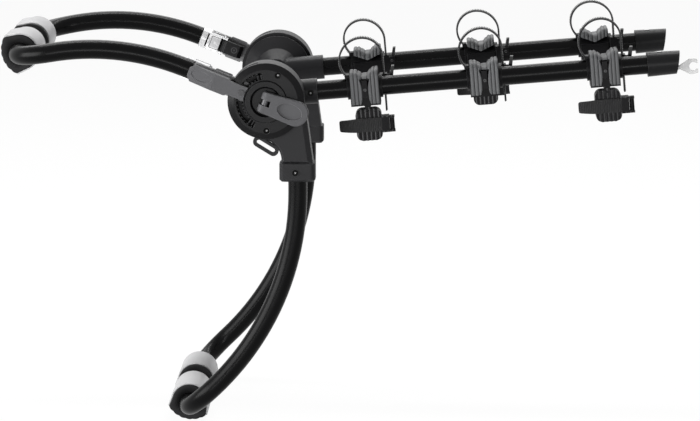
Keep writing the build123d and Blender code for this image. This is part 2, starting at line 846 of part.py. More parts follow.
def lock_cable():
    """Straight cable kept in the left arm."""
    return Pos(0, -cable_drop, 0) * along_x(cable_radius, cable_start, cable_end)


def lock_fork():
    """Flat C fork on the cable's end."""
    tip = fork_hole_place - fork_hole_radius - fork_neck
    end = fork_hole_place + fork_hole_radius
    half = fork_height / 2
    body = Pos(fork_hole_place, 0) * Circle(half)
    body += outline((tip, -fork_point), (fork_hole_place - fork_hole_radius, -half), (fork_hole_place, -half),
                    (fork_hole_place, half), (fork_hole_place - fork_hole_radius, half), (tip, fork_point))
    body &= outline((tip, -half), (end, -half), (end, half), (tip, half))
    body -= Pos(fork_hole_place, 0) * Circle(fork_hole_radius)
    body -= Pos(fork_hole_place + half, 0) * Rectangle(half * 2, fork_mouth)
    fork = plate(body, -fork_thickness / 2, fork_thickness / 2)
    fork += along_x(ferrule_radius, tip - ferrule_length, tip + ferrule_radius / 2)
    fork -= along_x(cable_radius + seat_gap, tip - ferrule_length * 2, cable_end + seat_gap)
    return Pos(0, -cable_drop, 0) * fork


def front_section(points):
    """Outline in the view along the arm: outward and up, ready to be carried along the arm."""
    return Plane.YZ * outline(*[(up, out) for out, up in points])


def along_arm(face, start, end):
    """Carry a front section from start to end along the arm."""
    return Pos(start, 0, 0) * extrude(face, end - start)


def base_envelope():
    """Outer form of the cradle base under the pad."""
    points = [(-base_inner, -base_drop), (base_outer, -base_drop), (base_outer, 0), (0, base_inner_top),
              (-base_inner, base_inner_top)]
    box = along_arm(front_section(points), -base_half_length, base_half_length)
    return box + along_x(arm_ring_radius, -ring_half_length, ring_half_length)


def strap_slab(width):
    """Leaning slab across the arm that holds the strap's width."""
    run = strap_right_place - lug_start
    slope = (strap_right_offset - strap_left_offset) / run
    size = (loop_radius + loop_height) * 4
    lean = Vector(slope, strap_lean, 1)
    middle = Vector((strap_right_place + lug_start) / 2, strap_level, -(strap_left_offset + strap_right_offset) / 2)
    return Plane(origin=middle, z_dir=lean.normalized()) * Box(size, size, width / lean.length)


def strap_path(thickness):
    """Side view of the strap: loop from the lug over the top and straight down past the buckle."""
    inner = loop_radius - thickness / 2
    outer = loop_radius + thickness / 2
    loop = Pos(loop_place, loop_height) * ring_sector(inner, outer, 0, strap_start_angle)
    tail = outline(
        (strap_right_place - thickness / 2, loop_height),
        (strap_right_place + thickness / 2, loop_height),
        (strap_right_place + thickness / 2, -strap_tail_drop),
        (strap_right_place - thickness / 2, -strap_tail_drop),
    )
    return loop + tail


def cradle_strap():
    """One cradle strap."""
    half = strap_right_offset + strap_width
    band = plate(strap_path(strap_thickness), -half, half)
    band &= strap_slab(strap_width)
    return band - strap_lug()


def strap_lug():
    """Lug at the cradle's near end that holds the strap."""
    half = strap_width / 2 + seat_gap
    return block((lug_start, tube_radius + seat_gap, -strap_left_offset - half),
                 (lug_end, lug_top, -strap_left_offset + half))


def cradle_base(with_sway):
    """Clamp ring, body, screw bosses, strap lug, ratchet buckle and, on some, the cage's lugs."""
    base = base_envelope()
    base += block((-boss_half_width, -boss_half_height, 0), (boss_half_width, boss_half_height, boss_out))
    base += strap_lug()
    buckle = block((buckle_start, -buckle_half_height, -buckle_inner), (buckle_reach, buckle_half_height,
                                                                        -buckle_outer))
    for low in (-buckle_inner, -buckle_outer - ear_width):
        buckle += block((buckle_start, ratchet_height - ear_half_height, low),
                        (ear_reach, ratchet_height + ear_half_height, low + ear_width))
    slot = plate(strap_path(strap_thickness + strap_slot_gap * 2), -buckle_inner * 2, buckle_inner * 2)
    buckle -= slot & strap_slab(strap_width + strap_slot_gap * 2)
    hole = rod(trunnion_radius + running_gap, -buckle_inner * 2, 0)
    buckle -= Pos(ratchet_place, ratchet_height, 0) * hole
    base += buckle
    if with_sway:
        base += sway_lugs()
    bore = along_x(tube_radius + seat_gap, -ring_half_length - cut_overrun, buckle_reach * 2)
    return base - bore


def sway_lugs():
    """Two lugs under the cradle that the cage hangs between."""
    lugs = []
    for side in (-1, 1):
        low, high = sorted((side * sway_lug_spread, side * (sway_lug_spread + sway_lug_width)))
        lug = block((sway_place - sway_lug_half_length, -sway_pivot_drop, low),
                    (sway_place + sway_lug_half_length, -base_drop + side_gap, high))
        lug += Pos(sway_place, -sway_pivot_drop, 0) * rod(sway_lug_half_length, low, high)
        lug -= Pos(sway_place, -sway_pivot_drop, 0) * rod(sway_pivot_radius + running_gap, low - cut_overrun,
                                                          high + cut_overrun)
        lugs.append(lug)
    return lugs[0] + lugs[1]


def cradle_pad():
    """Rubber saddle: shallow vee on top, two bands down the outer side, a short skirt inside."""
    top = vee_right_height + cut_overrun
    section = front_section([
        (pad_half_width, -pad_outer_drop),
        (pad_half_width, vee_height - pad_shoulder),
        (pad_half_width - pad_shoulder, top),
        (pad_shoulder - pad_half_width, top),
        (-pad_half_width, vee_height - pad_shoulder),
        (-pad_half_width, pad_skirt_height),
        (-base_inner, pad_skirt_height),
        (-base_inner, base_inner_top),
        (0, base_inner_top),
        (base_outer, 0),
        (base_outer, -pad_outer_drop),
    ])
    pad = along_arm(section, -pad_half_length, pad_half_length)
    side = outline(
        (-pad_half_length, -pad_outer_drop),
        (pad_half_length, -pad_outer_drop),
        (pad_half_length, vee_right_height),
        (pad_half_length - peak_flat, vee_right_height),
        (0, vee_height),
        (peak_flat - pad_half_length, vee_left_height),
        (-pad_half_length, vee_left_height),
    )
    pad &= plate(side, -pad_half_width * 2, pad_half_width * 2)
    gap = outline(
        (-pad_gap_half_bottom, -pad_outer_drop - cut_overrun),
        (pad_gap_half_bottom, -pad_outer_drop - cut_overrun),
        (pad_gap_half_top, pad_gap_top),
        (-pad_gap_half_top, pad_gap_top),
    )
    pad -= plate(gap, 0, pad_half_width * 2)
    return pad - along_x(arm_ring_radius, -pad_half_length * 2, pad_half_length * 2)


def ratchet_lever():
    """Small lever of the cradle's ratchet buckle."""
    low = ear_width + side_gap - buckle_inner
    high = -buckle_outer - ear_width - side_gap
    face = Pos(ratchet_place, ratchet_height) * Circle(ratchet_hub_radius)
    face += outline(
        (ratchet_place - ratchet_hub_radius / 2, ratchet_height),
        (ratchet_place + ratchet_hub_radius, ratchet_height),
        (ratchet_tip_place + ratchet_thickness / 2, ratchet_tip_height),
        (ratchet_tip_place - ratchet_thickness / 2, ratchet_tip_height),
    )
    lever = plate(face, low, high)
    trunnion = rod(trunnion_radius, -buckle_inner, -buckle_outer)
    return lever + Pos(ratchet_place, ratchet_height, 0) * trunnion


def sway_cage():
    """Ribbed cage that hangs under a cradle, with the buckle housing on its rear edge."""
    half_height = (cage_bottom_drop - cage_top_drop) / 2
    middle = (cage_bottom_drop + cage_top_drop) / 2
    face = Pos(sway_place, -middle) * RectangleRounded(cage_half_length * 2, half_height * 2, cage_corner)
    cage = plate(face, -cage_back, cage_front)
    pitch = cage_half_length * 2 / (groove_count + 1)
    for index in range(groove_count):
        place = sway_place - cage_half_length + pitch * (index + 1)
        cage -= block((place - groove_width / 2, -cage_bottom_drop * 2, cage_front - groove_depth),
                      (place + groove_width / 2, 0, cage_front + cut_overrun))
    neck = block((sway_place - cage_neck_half_length / 2, -cage_top_drop - cut_overrun, side_gap - sway_lug_spread),
                 (sway_place + cage_neck_half_length / 2, -sway_pivot_drop, sway_lug_spread - side_gap))
    hub = rod(sway_hub_radius, side_gap - sway_lug_spread, sway_lug_spread - side_gap)
    pin = rod(sway_pivot_radius, -sway_lug_spread - sway_lug_width, sway_lug_spread + sway_lug_width)
    for side in (-1, 1):
        low, high = sorted((side * (sway_lug_spread - side_gap), side * (sway_lug_spread + sway_lug_width + side_gap)))
        cage -= Pos(sway_place, -sway_pivot_drop, 0) * rod(sway_lug_half_length + side_gap, low, high)
    cage += neck + Pos(sway_place, -sway_pivot_drop, 0) * (hub + pin)
    return cage + sway_buckle()


def sway_buckle():
    """Strap housing and lever fork on the cage's rear edge."""
    edge = sway_place + cage_half_length
    half = sway_lever_half_height + side_gap / 2 + sway_fork_height
    housing = block((edge - side_gap, -sway_strap_drop - half, -sway_buckle_back),
                    (sway_buckle_reach, -sway_strap_drop + half, sway_buckle_front))
    gap = strap_slot_gap
    housing -= block((edge - side_gap * 2, -sway_strap_drop - sway_strap_height / 2 - gap, cage_front),
                     (sway_buckle_reach * 2, -sway_strap_drop + sway_strap_height / 2 + gap,
                      cage_front + sway_strap_thickness + gap))
    for side in (-1, 1):
        near = side * (sway_lever_half_height + side_gap / 2)
        low, high = sorted((near, near + side * sway_fork_height))
        housing += block((edge + side_gap, low - sway_strap_drop, sway_lever_front - sway_lever_hub_radius * 2),
                         (sway_fork_reach, high - sway_strap_drop, sway_lever_front + sway_lever_hub_radius))
    hole = along_y(sway_trunnion_radius + running_gap, sway_lever_half_height * 2)
    return housing - Pos(sway_lever_place, -sway_strap_drop, sway_lever_front) * hole


def sway_strap():
    """Strap across the cage's face, its free end bent back."""
    start = (sway_buckle_reach, cage_front)
    bend = (sway_strap_left, cage_front)
    front = sway_strap_thickness
    inner = [Line(start, bend), TangentArc(bend, (sway_tail_reach, sway_tail_back), tangent=(-1, 0))]
    far = (sway_tail_reach - front / 2, sway_tail_back + front)
    outer = [Line((start[0], start[1] + front), (bend[0], bend[1] + front)),
             TangentArc((bend[0], bend[1] + front), far, tangent=(-1, 0))]
    ends = [Line(start, (start[0], start[1] + front)), Line((sway_tail_reach, sway_tail_back), far)]
    face = make_face(inner + outer + ends)
    low = -sway_strap_drop - sway_strap_height / 2
    plan = Plane(origin=(0, low, 0), x_dir=(1, 0, 0), z_dir=(0, -1, 0)) * face
    return Pos(0, sway_strap_height, 0) * extrude(plan, sway_strap_height)


def sway_lever():
    """Lever of the cage's buckle, turning about an upright axis."""
    back = sway_lever_front - sway_lever_length
    half = sway_lever_thickness / 2
    body = block((sway_lever_place - half, -sway_lever_half_height, back),
                 (sway_lever_place + half, sway_lever_half_height, sway_lever_front))
    hub = along_y(sway_lever_hub_radius, sway_lever_half_height)
    pin = along_y(sway_trunnion_radius, sway_lever_half_height + sway_trunnion_reach)
    lever = body + Pos(sway_lever_place, 0, sway_lever_front) * (hub + pin)
    return Pos(0, -sway_strap_drop, 0) * lever


def pad_face():
    """Side view of a pad: round back, straight flanks, scalloped contact edge towards -Y."""
    corner = Vector(pad_corner_half, -pad_corner_depth)
    rise = pad_contact_depth - pad_corner_depth
    radius = (pad_corner_half ** 2 + rise ** 2) / (2 * rise)
    centre = radius - pad_contact_depth
    half_angle = math.degrees(math.asin(pad_corner_half / radius))
    step = 2 * half_angle / pad_scallops
    edges = []
    for index in range(pad_scallops):
        start_angle = 270 - half_angle + step * index
        spots = [Vector(*polar(radius + lift, start_angle + step * share)) + Vector(0, centre)
                 for lift, share in ((0, 0), (pad_scallop_rise, 0.5), (0, 1))]
        edges.append(ThreePointArc(*spots))
    right, left = Vector(pad_back_radius, 0), Vector(-pad_back_radius, 0)
    edges += [Line(corner, right), CenterArc((0, 0), pad_back_radius, 0, 180)]
    edges.append(Line(left, Vector(-pad_corner_half, -pad_corner_depth)))
    return make_face(edges)


def sleeve_face():
    """Side view of the band over a pad's back."""
    grown = pad_back_radius + sleeve_thickness
    low = (pad_corner_half + sleeve_thickness, sleeve_thickness - pad_corner_depth)
    face = make_face([
        CenterArc((0, 0), grown, 0, 180),
        Line((-grown, 0), (-low[0], low[1])),
        Line((-low[0], low[1]), (-pad_corner_half, -pad_corner_depth)),
        Line((-pad_corner_half, -pad_corner_depth), (-pad_back_radius, 0)),
        CenterArc((0, 0), pad_back_radius, 0, 180),
        Line((pad_back_radius, 0), (pad_corner_half, -pad_corner_depth)),
        Line((pad_corner_half, -pad_corner_depth), low),
        Line(low, (grown, 0)),
    ])
    return face


def frame_pad(face, bore, cross, contact_angle):
    """A pad or its sleeve on a frame's cross tube, left side."""
    solid = Rot(0, 0, contact_angle - 270) * extrude(face, pad_length)
    if bore:
        solid -= rod(tube_radius + seat_gap, -cut_overrun, pad_length + cut_overrun)
    return Pos(cross[0], -pad_centre_gap / 2, cross[1]) * (Plane.XZ * solid)


def right(shape):
    """Mirror image on the far side."""
    return mirror(shape, about=Plane.XZ)


def along_cradles(make):
    """One solid per cradle of an arm, each drawn about its own place."""
    return [Pos(first_cradle_reach + bike_pitch * index, 0, 0) * make(index) for index in range(bike_count)]


left_sway_places = (0, 2)
right_sway_places = (1,)

upper_start = polar(upper_tube_start, upper_leg_angle)
upper_path, upper_first, upper_root, upper_cross = frame_path(
    upper_start, upper_leg_angle, upper_straight - upper_tube_start, upper_bend_radius, upper_sweep_angle)
socket_top = collar_drop + collar_height - socket_depth
lower_path, lower_first, lower_root, lower_cross = frame_path(
    (lower_leg_offset, -socket_top - seat_gap), 270, lower_bend_drop - socket_top, lower_bend_radius,
    -lower_sweep_angle)

contact = polar(pad_contact_depth, lower_contact_angle)
origin = Pos(-lower_cross[0] - contact[0], 0, -lower_cross[1] - contact[1])

parts = {}


def keep(name, *solids):
    """Store the solids of one node in the rack's own frame."""
    placed = [origin * solid for solid in solids]
    parts[name] = placed[0] if len(placed) == 1 else Compound(children=placed)


def keep_pair(name, left):
    """Store a piece and its mirror image as two nodes."""
    keep(name + "_left", left)
    keep(name + "_right", right(left))


keep("lower_frame_tube", bent_tube(lower_path, lower_first, lower_root))
keep("upper_frame_tube", bent_tube(upper_path, upper_first, upper_root))
keep_pair("hub_casting", at_hub(hub_casting()))
keep_pair("hub_cover", at_hub(hub_cover()))
dial = at_hub(dial_ring())
keep("dial_rings", dial, right(dial))
axle = at_hub(hub_axle())
keep("hub_axles", axle, right(axle))
pin_left = at_hub(lever_pin())
keep("lever_pins", pin_left, right(pin_left))
screws = [at_hub(screw(*polar(screw_circle_radius, angle), cover_front - counterbore_depth)) for angle in screw_angles]
screws.append(at_hub(collar_screw()))
keep("hub_screws", *screws, *[right(piece) for piece in screws])
keep_pair("hub_lever", at_hub(hub_lever()))

keep_pair("upper_bracket", at_leg(upper_bracket()))
keep_pair("side_plate", at_leg(side_plate()))
rivet = at_leg(plate_rivet())
keep("plate_rivets", rivet, right(rivet))
keep_pair("strap_buckle", at_leg(strap_buckle()))
buckle_pin_left = at_leg(buckle_pin())
keep("buckle_pins", buckle_pin_left, right(buckle_pin_left))
keep_pair("buckle_cam", at_leg(buckle_cam()))

for frame_name, cross, contact_angle in (("upper", upper_cross, upper_contact_angle),
                                         ("lower", lower_cross, lower_contact_angle)):
    keep_pair(frame_name + "_pad", frame_pad(pad_face(), True, cross, contact_angle))
    sleeve = frame_pad(sleeve_face(), False, cross, contact_angle)
    keep(frame_name + "_sleeves", sleeve, right(sleeve))

keep_pair("arm_bracket", at_arm(arm_bracket()))
keep_pair("arm_tube", at_arm(arm_tube()))
keep_pair("arm_screw", at_arm(arm_screw()))
keep("arm_cap_left", at_arm(left_cap()))
keep("arm_cap_right", right(at_arm(right_cap())))
keep("lock_core", right(at_arm(lock_core())))
keep("lock_cable", at_arm(lock_cable()))
keep("lock_fork", at_arm(lock_fork()))

for side_name, sway_places, place in (("left", left_sway_places, at_arm),
                                      ("right", right_sway_places, lambda shape: right(at_arm(shape)))):
    keep("cradle_bases_" + side_name, *[place(base) for base in along_cradles(
        lambda index, places=sway_places: cradle_base(index in places))])
    keep("cradle_pads_" + side_name, *[place(pad) for pad in along_cradles(lambda index: cradle_pad())])
    keep("cradle_straps_" + side_name, *[place(strap) for strap in along_cradles(lambda index: cradle_strap())])
    for index, lever in enumerate(along_cradles(lambda index: ratchet_lever())):
        keep(f"ratchet_lever_{side_name}_{index + 1}", place(lever))
    for index in sway_places:
        spot = Pos(first_cradle_reach + bike_pitch * index, 0, 0)
        keep(f"sway_cage_{side_name}_{index + 1}", place(spot * sway_cage()))
        keep(f"sway_strap_{side_name}_{index + 1}", place(spot * sway_strap()))
        keep(f"sway_lever_{side_name}_{index + 1}", place(spot * sway_lever()))

os.makedirs("parts", exist_ok=True)
for name, shape in parts.items():
    export_step(shape, "parts/" + name + ".step")

whole = Compound(children=list(parts.values())).bounding_box()
print("nodes", len(parts), "size", whole.size)
print("lowest", whole.min, "highest", whole.max)
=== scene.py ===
"""Looks of a hanging trunk rack for three bicycles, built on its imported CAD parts."""

import math

import bpy
import numpy as np
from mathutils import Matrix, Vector


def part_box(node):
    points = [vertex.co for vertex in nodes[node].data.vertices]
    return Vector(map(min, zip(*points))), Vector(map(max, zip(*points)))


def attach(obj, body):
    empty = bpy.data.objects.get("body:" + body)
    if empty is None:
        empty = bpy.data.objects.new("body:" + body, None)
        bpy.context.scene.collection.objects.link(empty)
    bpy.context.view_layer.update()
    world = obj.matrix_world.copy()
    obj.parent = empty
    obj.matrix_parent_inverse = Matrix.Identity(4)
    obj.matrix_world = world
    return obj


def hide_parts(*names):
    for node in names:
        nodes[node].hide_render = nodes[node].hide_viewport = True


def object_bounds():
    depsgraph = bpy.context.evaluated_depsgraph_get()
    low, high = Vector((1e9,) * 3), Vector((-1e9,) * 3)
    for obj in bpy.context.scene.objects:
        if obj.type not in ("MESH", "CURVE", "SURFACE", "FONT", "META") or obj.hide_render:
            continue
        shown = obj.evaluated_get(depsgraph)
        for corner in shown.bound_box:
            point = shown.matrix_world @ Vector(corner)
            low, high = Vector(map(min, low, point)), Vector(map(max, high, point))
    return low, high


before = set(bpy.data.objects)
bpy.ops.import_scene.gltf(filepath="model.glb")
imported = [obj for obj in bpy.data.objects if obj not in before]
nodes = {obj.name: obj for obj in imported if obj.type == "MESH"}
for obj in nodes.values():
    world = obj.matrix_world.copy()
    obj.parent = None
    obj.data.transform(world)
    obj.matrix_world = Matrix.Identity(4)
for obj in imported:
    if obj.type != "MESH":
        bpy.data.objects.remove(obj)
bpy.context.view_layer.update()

# ---- The two U frames and the arms' tubes -------------------------------------------------------
# Welded steel tube, bent cold, phosphated and powder coated in gloss black after bending. The coat
# flows a little, so highlights waver, and it thins to a greyer line on worn edges.


def link(tree, source, target):
    """Join two sockets."""
    tree.links.new(source, target)


def node(tree, kind, **values):
    """A shader node with its properties and its unlinked inputs set."""
    made = tree.nodes.new("ShaderNode" + kind)
    for name, value in values.items():
        if hasattr(made, name):
            setattr(made, name, value)
        else:
            made.inputs[name.replace("_", " ")].default_value = value
    return made


def group_tree(name, inputs, outputs):
    """An empty shader group with named sockets, and its two end nodes."""
    tree = bpy.data.node_groups.new(name, "ShaderNodeTree")
    kinds = {float: "NodeSocketFloat", tuple: "NodeSocketColor", str: "NodeSocketVector"}
    for label, value in inputs.items():
        socket = tree.interface.new_socket(label, in_out="INPUT", socket_type=kinds[type(value)])
        if not isinstance(value, str):
            socket.default_value = value
    for label, kind in outputs.items():
        tree.interface.new_socket(label, in_out="OUTPUT", socket_type="NodeSocket" + kind)
    return tree, tree.nodes.new("NodeGroupInput"), tree.nodes.new("NodeGroupOutput")


def maths(tree, operation, *values, clamp=False):
    """Result of one operation on sockets and numbers."""
    made = node(tree, "Math", operation=operation, use_clamp=clamp)
    for place, value in enumerate(values):
        if isinstance(value, (int, float)):
            made.inputs[place].default_value = value
        else:
            link(tree, value, made.inputs[place])
    return made.outputs["Value"]


def ramp(tree, value, low, high, start=0.0, end=1.0):
    """A socket's value carried from low and high to start and end, and held there."""
    made = node(tree, "MapRange", clamp=True, From_Min=low, From_Max=high, To_Min=start, To_Max=end)
    link(tree, value, made.inputs["Value"])
    return made.outputs["Result"]


def noise(tree, scale, detail, roughness):
    """Noise in the piece's own space."""
    place = node(tree, "TexCoord")
    made = node(tree, "TexNoise", Detail=detail, Roughness=roughness)
    link(tree, place.outputs["Object"], made.inputs["Vector"])
    link(tree, scale, made.inputs["Scale"])
    return made.outputs["Fac"]


def laid_over(tree, mask, below, colour):
    """A colour laid over another where the mask is 1."""
    made = node(tree, "Mix", data_type="RGBA")
    link(tree, mask, made.inputs[0])
    link(tree, below, made.inputs[6])
    made.inputs[7].default_value = (*colour, 1)
    return made.outputs[2]


def edge_wear_group():
    """Mask that is 1 where an edge is sharp and the rubbing noise is high."""
    inputs = {"Radius": 0.0008, "Amount": 0.5, "Patch": 60.0}
    tree, given, out = group_tree("edge_wear", inputs, {"Mask": "Float"})
    soft = node(tree, "Bevel", samples=6)
    link(tree, given.outputs["Radius"], soft.inputs["Radius"])
    flat = node(tree, "NewGeometry")
    turn = node(tree, "VectorMath", operation="DOT_PRODUCT")
    link(tree, soft.outputs["Normal"], turn.inputs[0])
    link(tree, flat.outputs["Normal"], turn.inputs[1])
    edge = ramp(tree, turn.outputs["Value"], 0.99, 0.86)
    rubbed = ramp(tree, noise(tree, given.outputs["Patch"], 4.0, 0.6), 0.35, 0.65)
    both = maths(tree, "MULTIPLY", edge, rubbed)
    link(tree, maths(tree, "MULTIPLY", both, given.outputs["Amount"], clamp=True),
         out.inputs["Mask"])
    return tree


def grain_group():
    """Fine surface height (moulded grain or orange peel) and a tone that varies slowly."""
    inputs = {"Fine": 1500.0, "Slow": 14.0, "Pitting": 0.3}
    tree, given, out = group_tree("surface_grain", inputs, {"Height": "Float", "Tone": "Float"})
    place = node(tree, "TexCoord")
    pits = node(tree, "TexVoronoi", feature="F1")
    link(tree, place.outputs["Object"], pits.inputs["Vector"])
    link(tree, given.outputs["Fine"], pits.inputs["Scale"])
    mix = node(tree, "Mix", data_type="FLOAT")
    link(tree, given.outputs["Pitting"], mix.inputs[0])
    link(tree, noise(tree, given.outputs["Fine"], 3.0, 0.55), mix.inputs[2])
    link(tree, pits.outputs["Distance"], mix.inputs[3])
    link(tree, mix.outputs[0], out.inputs["Height"])
    link(tree, noise(tree, given.outputs["Slow"], 5.0, 0.6), out.inputs["Tone"])
    return tree


def dust_group():
    """Mask of the thin dust that lies on faces that look up."""
    tree, given, out = group_tree("settled_dust", {"Amount": 0.1, "Patch": 25.0}, {"Mask": "Float"})
    face = node(tree, "NewGeometry")
    split = node(tree, "SeparateXYZ")
    link(tree, face.outputs["Normal"], split.inputs["Vector"])
    up = ramp(tree, split.outputs["Z"], 0.2, 1.0)
    both = maths(tree, "MULTIPLY", up, noise(tree, given.outputs["Patch"], 6.0, 0.65))
    link(tree, maths(tree, "MULTIPLY", both, given.outputs["Amount"], clamp=True),
         out.inputs["Mask"])
    return tree


DUST_TONE = (0.22, 0.21, 0.2)
edge_wear = edge_wear_group()
surface_grain = grain_group()
settled_dust = dust_group()


def groove_shade_mask(tree, count, width):
    """Mask of a number of grooves that cross a piece's surface map, where painted shade goes."""
    chart = node(tree, "UVMap")
    split = node(tree, "SeparateXYZ")
    link(tree, chart.outputs["UV"], split.inputs["Vector"])
    wave = maths(tree, "SINE", maths(tree, "MULTIPLY", split.outputs["Y"], count * math.pi))
    return ramp(tree, maths(tree, "ABSOLUTE", wave), width * 0.4, width, 1.0, 0.0)


def finish(name, colour, worn, roughness, metal=0.0, round_edge=0.0006, wear=0.5, grain=0.08,
           fine=1500.0, pitting=0.3, dust=0.03, specular=0.15, tone_depth=0.25, brushed=None,
           grooves=None):
    """A procedural finish: base tone, worn edges, settled dust, grain and rounded edges.

    Grooves, as (count, colour, width), get painted shade: a darker colour in lines across a piece's
    surface map.
    """
    material = bpy.data.materials.new(name)
    material.use_nodes = True
    tree = material.node_tree
    shader = tree.nodes["Principled BSDF"]
    shader.inputs["Metallic"].default_value = metal
    shader.inputs["Specular IOR Level"].default_value = specular
    surface = node(tree, "Group", node_tree=surface_grain, Fine=fine, Pitting=pitting)
    wearing = node(tree, "Group", node_tree=edge_wear, Amount=wear,
                   Radius=max(round_edge * 1.6, 0.0005))
    dusty = node(tree, "Group", node_tree=settled_dust, Amount=dust)
    tone = node(tree, "Mix", data_type="RGBA")
    link(tree, surface.outputs["Tone"], tone.inputs[0])
    tone.inputs[6].default_value = (*(c * (1 - tone_depth) for c in colour), 1)
    tone.inputs[7].default_value = (*(c * (1 + tone_depth) for c in colour), 1)
    clean = laid_over(tree, wearing.outputs["Mask"], tone.outputs[2], worn)
    # Painted shade: the grooves are coloured darker, as if shade lay in them.
    if grooves:
        count, groove_shade_colour, width = grooves
        clean = laid_over(tree, groove_shade_mask(tree, count, width), clean, groove_shade_colour)
    link(tree, laid_over(tree, dusty.outputs["Mask"], clean, DUST_TONE),
         shader.inputs["Base Color"])
    rough = ramp(tree, surface.outputs["Tone"], 0.3, 0.7, roughness * 0.85,
                 min(roughness * 1.15, 1.0))
    link(tree, maths(tree, "ADD", rough, dusty.outputs["Mask"], clamp=True),
         shader.inputs["Roughness"])
    rounded = node(tree, "Bevel", samples=6, Radius=round_edge)
    height = surface.outputs["Height"]
    if brushed:
        place = node(tree, "TexCoord")
        stretch = node(tree, "Mapping", Scale=brushed)
        link(tree, place.outputs["Object"], stretch.inputs["Vector"])
        streaks = node(tree, "TexNoise", Scale=1.0, Detail=4.0)
        link(tree, stretch.outputs["Vector"], streaks.inputs["Vector"])
        height = streaks.outputs["Fac"]
    bump = node(tree, "Bump", Strength=grain, Distance=0.0002)
    link(tree, height, bump.inputs["Height"])
    link(tree, rounded.outputs["Normal"], bump.inputs["Normal"])
    link(tree, bump.outputs["Normal"], shader.inputs["Normal"])
    return material


def wear_on(material, *names):
    """Give CAD nodes their finish."""
    for name in names:
        slots = nodes[name].data.materials
        slots.clear()
        slots.append(material)


gloss_coat = finish("gloss_powder_coat", (0.0012, 0.0012, 0.0014), (0.012, 0.012, 0.013), 0.27,
                    grain=0.03, fine=260.0, pitting=0.0, wear=0.2, dust=0.003, specular=0.085)
wear_on(gloss_coat, "lower_frame_tube", "upper_frame_tube", "arm_tube_left", "arm_tube_right")

# ---- Hub castings -------------------------------------------------------------------------------
# One glass-filled nylon moulding a side: round housing, neck, the collar that the lower leg is
# screwed into and the slotted ear for the side strap. Satin, with a fine spark-eroded grain.

SIDES = (("left", -1.0), ("right", 1.0))
hub_plastic = finish("hub_plastic", (0.014, 0.014, 0.015), (0.1, 0.1, 0.105), 0.44,
                     round_edge=0.0012, wear=0.8, grain=0.22, fine=2200.0, dust=0.02, specular=0.12)
wear_on(hub_plastic, "hub_casting_left", "hub_casting_right")

# ---- Hub covers ---------------------------------------------------------------------------------
# Flat faced discs screwed on the castings, with a bevelled rim, a raised ring, a bowl for the
# lever's eye and the arc window over the dial.

cover_plastic = finish("cover_plastic", (0.0055, 0.0055, 0.006), (0.06, 0.06, 0.062), 0.34,
                       round_edge=0.001, wear=0.8, grain=0.16, fine=2400.0, dust=0.015,
                       specular=0.1)
wear_on(cover_plastic, "hub_cover_left", "hub_cover_right")

# ---- Screws, rivets and axles -------------------------------------------------------------------
# Screws are black zinc, with a painted highlight in each socket. The axle, pins and rivets are
# plated steel turned on a lathe.


def tint(material, mask, colour):
    """Mix a colour over a material's own where the mask is 1."""
    tree = material.node_tree
    base = tree.nodes["Principled BSDF"].inputs["Base Color"]
    link(tree, laid_over(tree, mask, base.links[0].from_socket, colour), base)


def reach_along(tree, direction):
    """Place along a direction, in metres."""
    place = node(tree, "TexCoord")
    reach = node(tree, "VectorMath", operation="DOT_PRODUCT")
    link(tree, place.outputs["Object"], reach.inputs[0])
    reach.inputs[1].default_value = direction
    return reach.outputs["Value"]


def glint(material, centres, colour, radius, hollow=-1.0):
    """Painted highlight: a bright colour between two radii (metres) of axes across the rack at the
    given places.
    """
    tree = material.node_tree
    place = node(tree, "TexCoord")
    flat = node(tree, "VectorMath", operation="MULTIPLY")
    flat.inputs[1].default_value = (1.0, 0.0, 1.0)
    link(tree, place.outputs["Object"], flat.inputs[0])
    highlight_spots = 0.0
    for x, z in centres:
        away = node(tree, "VectorMath", operation="DISTANCE")
        away.inputs[1].default_value = (x, 0.0, z)
        link(tree, flat.outputs["Vector"], away.inputs[0])
        spot = ramp(tree, away.outputs["Value"], radius - 0.0004, radius, 1.0, 0.0)
        open_middle = ramp(tree, away.outputs["Value"], hollow, hollow + 0.0003)
        highlight_spots = maths(tree, "MAXIMUM", highlight_spots, maths(tree, "MULTIPLY", spot, open_middle))
    tint(material, highlight_spots, colour)


MM = 0.001
AXLE_LOW, AXLE_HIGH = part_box("hub_axles")
HUB = (AXLE_LOW + AXLE_HIGH) / 2


def about_hub(radius, angle):
    """Place at a radius (mm) and an angle (degrees) about the hub axis."""
    turn = math.radians(angle)
    return HUB.x + radius * MM * math.cos(turn), HUB.z + radius * MM * math.sin(turn)


screw_zinc = finish("black_zinc", (0.0015, 0.0015, 0.0015), (0.02, 0.02, 0.02), 0.4,
                    round_edge=0.0003, wear=0.3, dust=0.0, specular=0.04)
COVER_SCREWS = (about_hub(43.5, 65.0), about_hub(43.5, 271.5))
COLLAR_SCREW = (HUB.x + 0.0432, HUB.z - 0.108)
ARM_SCREW = about_hub(65.0, 4.8)
# The sockets' bright centres are painted highlights.
SOCKET_HIGHLIGHT_TONE, SOCKET_HIGHLIGHT_RADIUS = (0.36, 0.36, 0.36), 0.0016
glint(screw_zinc, [*COVER_SCREWS, COLLAR_SCREW], SOCKET_HIGHLIGHT_TONE, SOCKET_HIGHLIGHT_RADIUS)
wear_on(screw_zinc, "hub_screws")
socket_zinc = finish("socket_zinc", (0.002, 0.002, 0.002), (0.02, 0.02, 0.02), 0.4,
                     round_edge=0.0003, wear=0.3, dust=0.0, specular=0.04)
glint(socket_zinc, [ARM_SCREW], SOCKET_HIGHLIGHT_TONE, SOCKET_HIGHLIGHT_RADIUS)
wear_on(socket_zinc, "arm_screw_left", "arm_screw_right", "lever_pins")
axle_steel = finish("dark_steel", (0.05, 0.05, 0.052), (0.3, 0.3, 0.3), 0.36, metal=1.0,
                    round_edge=0.0005, wear=0.8)
wear_on(axle_steel, "hub_axles")
